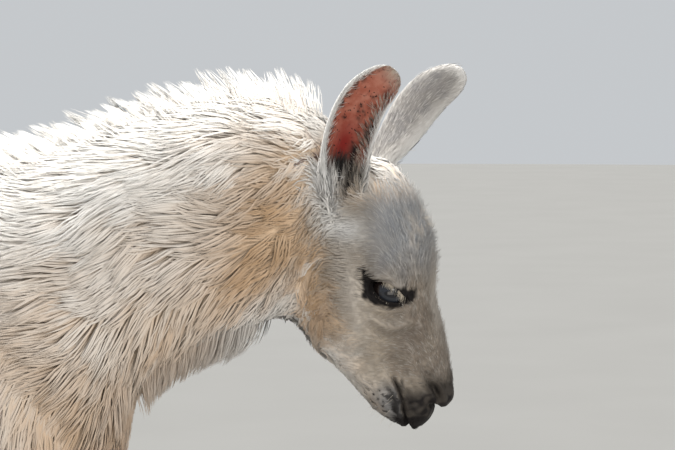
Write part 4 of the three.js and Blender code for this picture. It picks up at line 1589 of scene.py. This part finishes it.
class LLAMA_OT_neck_wool(bpy.types.Operator):
    """Grow the wool of the neck and shoulders"""
    bl_idname = "llama.neck_wool"
    bl_label = "Neck wool"

    def execute(self, context):
        survey, settings = need_survey(), context.scene.llama_coat
        front = fade(survey.points[:, 0], 0.12, 0.26) * survey.zone["trunk"]
        nape = survey.zone["head"] * (1 - survey.marks["face"])
        weight = np.clip(survey.zone["neck"] + front + nape, 0, 1) * (1 - survey.ear)
        weight = weight * (1 + nape)
        ahead = fade(survey.head[:, 0], -190, -80)
        locks = locks_of(survey, settings, weight, count=41000, seed=5, spacing=0.017 - 0.006 * ahead)
        clump = locks.per_clump()
        up, forward = locks.normal[:, 2], locks.value(survey.head)[:, 0]
        crest, under = fade(up, 0.45, 0.9), fade(up, -0.45, -0.9)
        near = fade(forward, -165, -75) * (1 - crest)
        jaw = fade(up, 0.1, -0.4) * fade(forward, -180, -125)
        locks.turn(0.22 * waves(locks.root, 0.12, 8) + 0.45 * (clump - 0.5) * (1 + 3.2 * near)
                   + locks.random.normal(0, 0.1, locks.count))
        length = settings.neck_length * (0.75 + 0.3 * clump + 0.3 * locks.per_lock()) * (1 - 0.55 * near)
        length = length * (1 - 0.2 * jaw)
        height = locks.value(survey.room) * (0.48 + 0.52 * locks.per_lock() ** 0.5) * (0.82 + 0.22 * clump)
        height = height * (1 - 0.22 * crest) * (1 - 0.35 * under) * (1 - 0.35 * jaw)
        height = np.minimum(height, 0.85 * length)
        parted = fade(up + 0.1 * (clump - 0.5), 0.7, 0.25)
        width = 0.0027 - 0.0003 * parted - 0.0006 * near
        pieces = locks.build(
            "neck_wool", length, width, height, steps=3, gather=0.16 + 0.22 * parted,
            crimp=0.0012 + 0.0022 * near, free=0.05 * crest + 0.12 * under * (1 - jaw),
            flat=0.25, soft=0.93, sway=0.003 * (1 - 0.3 * near))
        rides(pieces, lock_finish("neck_wool", settings, sheen=0.35))
        return {"FINISHED"}


class LLAMA_OT_mane(bpy.types.Operator):
    """Grow the locks that stand along the crest of the neck and hang from its underside"""
    bl_idname = "llama.mane"
    bl_label = "Mane"

    def execute(self, context):
        survey, settings = need_survey(), context.scene.llama_coat
        back = np.clip(survey.zone["neck"] + survey.zone["trunk"], 0, 1)
        crest = fade(survey.normals[:, 2], 0.72, 0.93) * back
        weight = crest * fade(survey.points[:, 0], -0.1, 0.22) * (1 - survey.ear)
        weight = weight * fade(survey.head[:, 0], -48, -66)
        locks = locks_of(survey, settings, weight, count=5200, seed=12, spacing=0.010)
        clump = locks.per_clump()
        forward = fade(locks.root[:, 0], 0.3, 0.6)
        locks.turn(0.9 * (clump - 0.5) + locks.random.normal(0, 0.25, locks.count))
        height = locks.value(survey.room) + 0.002 + 0.022 * clump ** 1.6 + 0.003 * locks.per_lock()
        length = height * (1.42 - 0.36 * forward + 0.1 * locks.per_lock())
        pieces = locks.build("mane", length, 0.0013, height, steps=3, gather=0.7, crimp=0.0006, arch=1.1,
                             flat=0.7)
        under = fade(survey.normals[:, 2], -0.55, -0.85) * (survey.zone["neck"] + survey.zone["head"])
        under = under * (1 - survey.marks["face"]) * fade(survey.head[:, 0], -140, -168)
        hanging = locks_of(survey, settings, np.clip(under, 0, 1), count=1500, seed=16, spacing=0.008)
        clump = hanging.per_clump()
        near = fade(hanging.value(survey.head)[:, 0], -120, -80)
        height = (hanging.value(survey.room) + 0.004 + 0.008 * clump) * (1 - 0.5 * near)
        length = height * (1.25 + 0.3 * hanging.per_lock())
        pieces += hanging.build("throat_fringe", length, 0.0013, height, steps=3, gather=0.6, crimp=0.0008,
                                arch=1.3, free=0.1, flat=0.7)
        rides(pieces, lock_finish("mane", settings, sheen=0.5))
        return {"FINISHED"}


class LLAMA_OT_body_wool(bpy.types.Operator):
    """Grow the wool of the back, sides, belly and tail"""
    bl_idname = "llama.body_wool"
    bl_label = "Body wool"

    def execute(self, context):
        survey, settings = need_survey(), context.scene.llama_coat
        front = fade(survey.points[:, 0], 0.12, 0.26)
        weight = survey.zone["trunk"] * (1 - front) + survey.zone["tail"]
        locks = locks_of(survey, settings, np.clip(weight, 0, 1), count=23000, seed=6, spacing=0.021)
        clump = locks.per_clump()
        wander = locks.random.normal(0, 0.12, locks.count)
        locks.turn(0.25 * waves(locks.root, 0.16, 9) + 0.5 * (clump - 0.5) + wander)
        length = settings.body_length * (0.75 + 0.3 * clump + 0.3 * locks.per_lock())
        height = locks.value(survey.room) * (0.6 + 0.4 * locks.per_lock()) * (0.62 + 0.42 * clump)
        free = (0.05 + 0.2 * clump) * fade(locks.normal[:, 2], -0.1, -0.7)
        pieces = locks.build("body_wool", length, 0.0036, height, steps=3, gather=0.5, crimp=0.002,
                             free=free, soft=0.92, sway=0.006)
        rides(pieces, lock_finish("body_wool", settings, sheen=0.5))
        return {"FINISHED"}


class LLAMA_OT_leg_hair(bpy.types.Operator):
    """Grow the hair of the legs and feet, long above and short below"""
    bl_idname = "llama.leg_hair"
    bl_label = "Leg hair"

    def execute(self, context):
        survey, settings = need_survey(), context.scene.llama_coat
        height_above = survey.points[:, 2]
        weight = np.clip(survey.zone["leg"] + survey.zone["foot"], 0, 1) * fade(height_above, 0.004, 0.02)
        weight = weight * (1 + fade(height_above, 0.2, 0.06))
        locks = locks_of(survey, settings, weight, count=10500, seed=7, spacing=0.009)
        clump = locks.per_clump()
        locks.turn(0.25 * (clump - 0.5) + locks.random.normal(0, 0.12, locks.count))
        upper, foot = fade(locks.root[:, 2], 0.30, 0.52), fade(locks.root[:, 2], 0.11, 0.03)
        length = (0.017 + 0.045 * upper - 0.009 * foot) * (0.75 + 0.5 * locks.per_lock())
        height = np.minimum(locks.value(survey.room) * (0.35 + 0.6 * locks.per_lock()), 0.5 * length)
        width = 0.0028 + 0.0026 * upper - 0.0008 * foot
        pieces = locks.build("leg_hair", length, width, height, steps=2, gather=0.4, crimp=0.0004)
        rides(pieces, lock_finish("leg_hair", settings, sheen=0.3))
        return {"FINISHED"}


class LLAMA_OT_face_hair(bpy.types.Operator):
    """Grow the short hair of the face"""
    bl_idname = "llama.face_hair"
    bl_label = "Face hair"

    def execute(self, context):
        survey, settings = need_survey(), context.scene.llama_coat
        forward, _, up = survey.head.T
        bare = fade(up, -96, -112) * fade(forward, 18, 32)
        patch = 0.75 * fade(outside_patch(forward, up, EYE_PATCH), 1.0, -1.0)
        for side in SIDES:
            lengthwise, across_slit, out = eye_coordinates(survey.head, side)
            near = (np.hypot(lengthwise, across_slit) < 34) & (out > 0)
            lids = fade(opening_distance(lengthwise, across_slit), 2.6, 1.2)
            bare = np.maximum(bare, near * np.maximum(lids, patch))
        weight = survey.marks["face"] * (1 - survey.ear) * (1 - bare)
        locks = locks_of(survey, settings, weight, count=16000, seed=8, spacing=0.002)
        locks.turn(0.2 * waves(locks.root, 0.04, 10) + locks.random.normal(0, 0.12, locks.count))
        head = locks.value(survey.head)
        muzzle = fade(head[:, 2], -60, -115)
        back = fade(head[:, 0], -25, -75)
        brow = fade(head[:, 2], -10, 40)
        length = settings.face_length * (0.8 + 0.5 * locks.per_lock())
        length = length * (1 - 0.5 * muzzle + 0.9 * back + 0.5 * brow)
        front = fade(locks.normal @ (0.9 * FORWARD + 0.4 * UP), 0.35, 0.8)
        rising = locks.per_lock() ** 3 * (0.25 + 0.35 * front) * (1 - 0.7 * muzzle)
        height = length * (0.10 + 0.14 * locks.per_lock() + rising) * (1 + 0.6 * back + 0.4 * brow)
        width = 0.00055 + 0.0008 * back + 0.0002 * brow
        pieces = locks.build("face_hair", length, width, height, steps=2, gather=0.3, crimp=0.0001,
                             soft=0.9)
        rides(pieces, lock_finish("face_hair", settings, sheen=0.0))
        return {"FINISHED"}


class LLAMA_OT_ear_hair(bpy.types.Operator):
    """Grow the fur of the ears, the fringe of their edges and the tufts inside them"""
    bl_idname = "llama.ear_hair"
    bl_label = "Ear hair"

    def execute(self, context):
        survey, settings = need_survey(), context.scene.llama_coat
        inner = np.clip(survey.marks["flush"], 0, 1)
        weight = survey.ear * (1 - 0.985 * inner) * (1 - 0.7 * survey.marks["dark"])
        locks = locks_of(survey, settings, weight, count=8000, seed=9, spacing=0.003)
        locks.turn(locks.random.normal(0, 0.18, locks.count))
        shares = [place.share * (place.held > 0.3) for place in survey.ear_place.values()]
        base = fade(locks.value(np.maximum(*shares)), 0.5, 0.24)
        length = 0.007 + 0.006 * locks.per_lock() + 0.008 * base
        height = length * (0.06 + 0.08 * locks.per_lock() + 0.24 * base)
        material = lock_finish("ear_hair", settings, sheen=0.3)
        pieces = locks.build("ear_hair", length, 0.0009 + 0.0004 * base, height, steps=2, gather=0.3,
                             crimp=0.0003, soft=0.95)
        rides(pieces, material)
        self.fringe(survey, settings, material)
        return {"FINISHED"}

    def fringe(self, survey, settings, material):
        """Hair that leans from the edges of each ear over its opening."""
        weight = np.zeros(len(survey.points))
        lean = np.zeros((len(survey.points), 3))
        for held, share, wide, axis, out, across in survey.ear_place.values():
            facing = fade((survey.normals * out).sum(axis=1), 0.0, 0.3)
            edge = fade(wide, 0.45, 0.85) + 0.3 * fade(-wide, 0.6, 0.9)
            weight = np.maximum(weight, held * facing * edge * fade(share, 0.97, 0.8))
            inward = unit(-np.sign(wide)[:, None] * across * 0.75 + axis * 0.55 + out * 0.25)
            lean = np.where((held > 0.3)[:, None], inward, lean)
        kept = survey.flow
        survey.flow = np.where((weight > 0.01)[:, None], lean, kept)
        locks = locks_of(survey, settings, weight, count=1300, seed=14, spacing=0.004)
        survey.flow = kept
        locks.turn(locks.random.normal(0, 0.25, locks.count))
        length = 0.006 + 0.008 * locks.per_lock()
        height = length * (0.2 + 0.3 * locks.per_lock())
        pieces = locks.build("ear_fringe", length, 0.0006, height, steps=3, gather=0.3, crimp=0.0004,
                             keep={"flush": 0.2, "dark": 0.85, "deep": 0.2})
        rides(pieces, material)


class LLAMA_OT_nails(bpy.types.Operator):
    """Finish the nails"""
    bl_idname = "llama.nails"
    bl_label = "Nails"

    def execute(self, context):
        material = nail_finish()
        for name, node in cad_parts.items():
            if name.startswith("nail_"):
                for slot in node.material_slots:
                    slot.material = material
        return {"FINISHED"}


# The camera: its place, how far below the level it looks, and its lens in pixels of the frame's width.
CAMERA_PLACE = (0.6536, -2.6, 1.221)
CAMERA_DIP = math.atan(165 / 2600)
SENSOR_WIDTH, FRAME_WIDTH, FOCAL_PIXELS = 36.0, 675, 2368


def aim(lamp, direction):
    """Turns a light to shine along a direction."""
    lamp.rotation_euler = Vector(direction).to_track_quat("-Z", "Y").to_euler()


class LLAMA_OT_stage(bpy.types.Operator):
    """Set up the floor, the lights and the camera"""
    bl_idname = "llama.stage"
    bl_label = "Stage"

    def execute(self, context):
        settings = context.scene.llama_stage
        mesh = bpy.data.meshes.new("floor")
        with opened(mesh) as work:
            bmesh.ops.create_circle(work, cap_ends=True, segments=96, radius=settings.floor_radius)
        floor = new_object("floor", mesh)
        finish = Finish("floor", Roughness=0.9, Specular_IOR_Level=0.1)
        finish.feed(Base_Color=finish.mix(finish.noise(1.5, 3), tint("floor"), tint("floor fleck")))
        floor.data.materials.append(finish.material)
        world = bpy.data.worlds.new("studio")
        world.use_nodes = True
        background = world.node_tree.nodes["Background"].inputs
        background["Color"].default_value = tint("daylight")
        background["Strength"].default_value = settings.surround
        context.scene.world = world
        context.scene.view_settings.view_transform = "Standard"
        key = bpy.data.lights.new("key", "SUN")
        key.energy = settings.key_power
        key.angle = math.radians(40)
        key.color = (1.0, 0.975, 0.93)
        aim(new_object("key", key), (0.38, -0.28, -1.0))
        self.light("fill", settings.fill_power, place=(2.2, -3.2, 1.9), target=(0.4, 0, 1.0),
                   size=(1.0, 0.8), shade=(1.0, 0.96, 0.90))
        self.light("bounce", settings.bounce_power, place=(0.9, -1.9, 0.6), target=(0.6, 0, 1.0),
                   size=(1.4, 0.7), shade=(1.0, 0.93, 0.84))
        data = bpy.data.cameras.new("camera")
        data.sensor_width = SENSOR_WIDTH
        data.lens = SENSOR_WIDTH * FOCAL_PIXELS / FRAME_WIDTH
        data.clip_end = 200.0
        camera = new_object("camera", data)
        camera.location = CAMERA_PLACE
        camera.rotation_euler = (math.radians(90) - CAMERA_DIP, 0.0, 0.0)
        context.scene.camera = camera
        return {"FINISHED"}

    def light(self, name, power, place, target, size, shade):
        """A rectangular lamp at a place, aimed at a target and unseen by the camera."""
        data = bpy.data.lights.new(name, "AREA")
        data.shape = "RECTANGLE"
        data.size, data.size_y = size
        data.energy = power
        data.color = shade
        lamp = new_object(name, data)
        lamp.location = place
        aim(lamp, Vector(target) - Vector(place))
        lamp.visible_camera = False


OPERATORS = (
    LLAMA_OT_stage, LLAMA_OT_skin, LLAMA_OT_eyes, LLAMA_OT_neck_wool, LLAMA_OT_mane, LLAMA_OT_body_wool,
    LLAMA_OT_leg_hair, LLAMA_OT_face_hair, LLAMA_OT_ear_hair, LLAMA_OT_nails,
)


class LLAMA_PT_panel(bpy.types.Panel):
    """The llama's settings and pieces"""
    bl_idname = "LLAMA_PT_panel"
    bl_label = "Llama"
    bl_space_type = "VIEW_3D"
    bl_region_type = "UI"
    bl_category = "Llama"

    def draw(self, context):
        for settings in (context.scene.llama_coat, context.scene.llama_stage):
            box = self.layout.box()
            for name in settings.bl_rna.properties.keys():
                if name not in ("rna_type", "name"):
                    box.prop(settings, name)
        for operator in OPERATORS:
            self.layout.operator(operator.bl_idname)


CLASSES = (LlamaCoatSettings, LlamaStageSettings, *OPERATORS, LLAMA_PT_panel)


def register():
    for cls in CLASSES:
        bpy.utils.register_class(cls)
    bpy.types.Scene.llama_coat = bpy.props.PointerProperty(type=LlamaCoatSettings)
    bpy.types.Scene.llama_stage = bpy.props.PointerProperty(type=LlamaStageSettings)


def unregister():
    del bpy.types.Scene.llama_coat
    del bpy.types.Scene.llama_stage
    for cls in reversed(CLASSES):
        bpy.utils.unregister_class(cls)


def main():
    register()
    bpy.ops.llama.stage()
    bpy.ops.llama.skin()
    bpy.ops.llama.eyes()
    bpy.ops.llama.neck_wool()
    bpy.ops.llama.mane()
    bpy.ops.llama.body_wool()
    bpy.ops.llama.leg_hair()
    bpy.ops.llama.face_hair()
    bpy.ops.llama.ear_hair()
    bpy.ops.llama.nails()


if __name__ == "__main__":
    main()
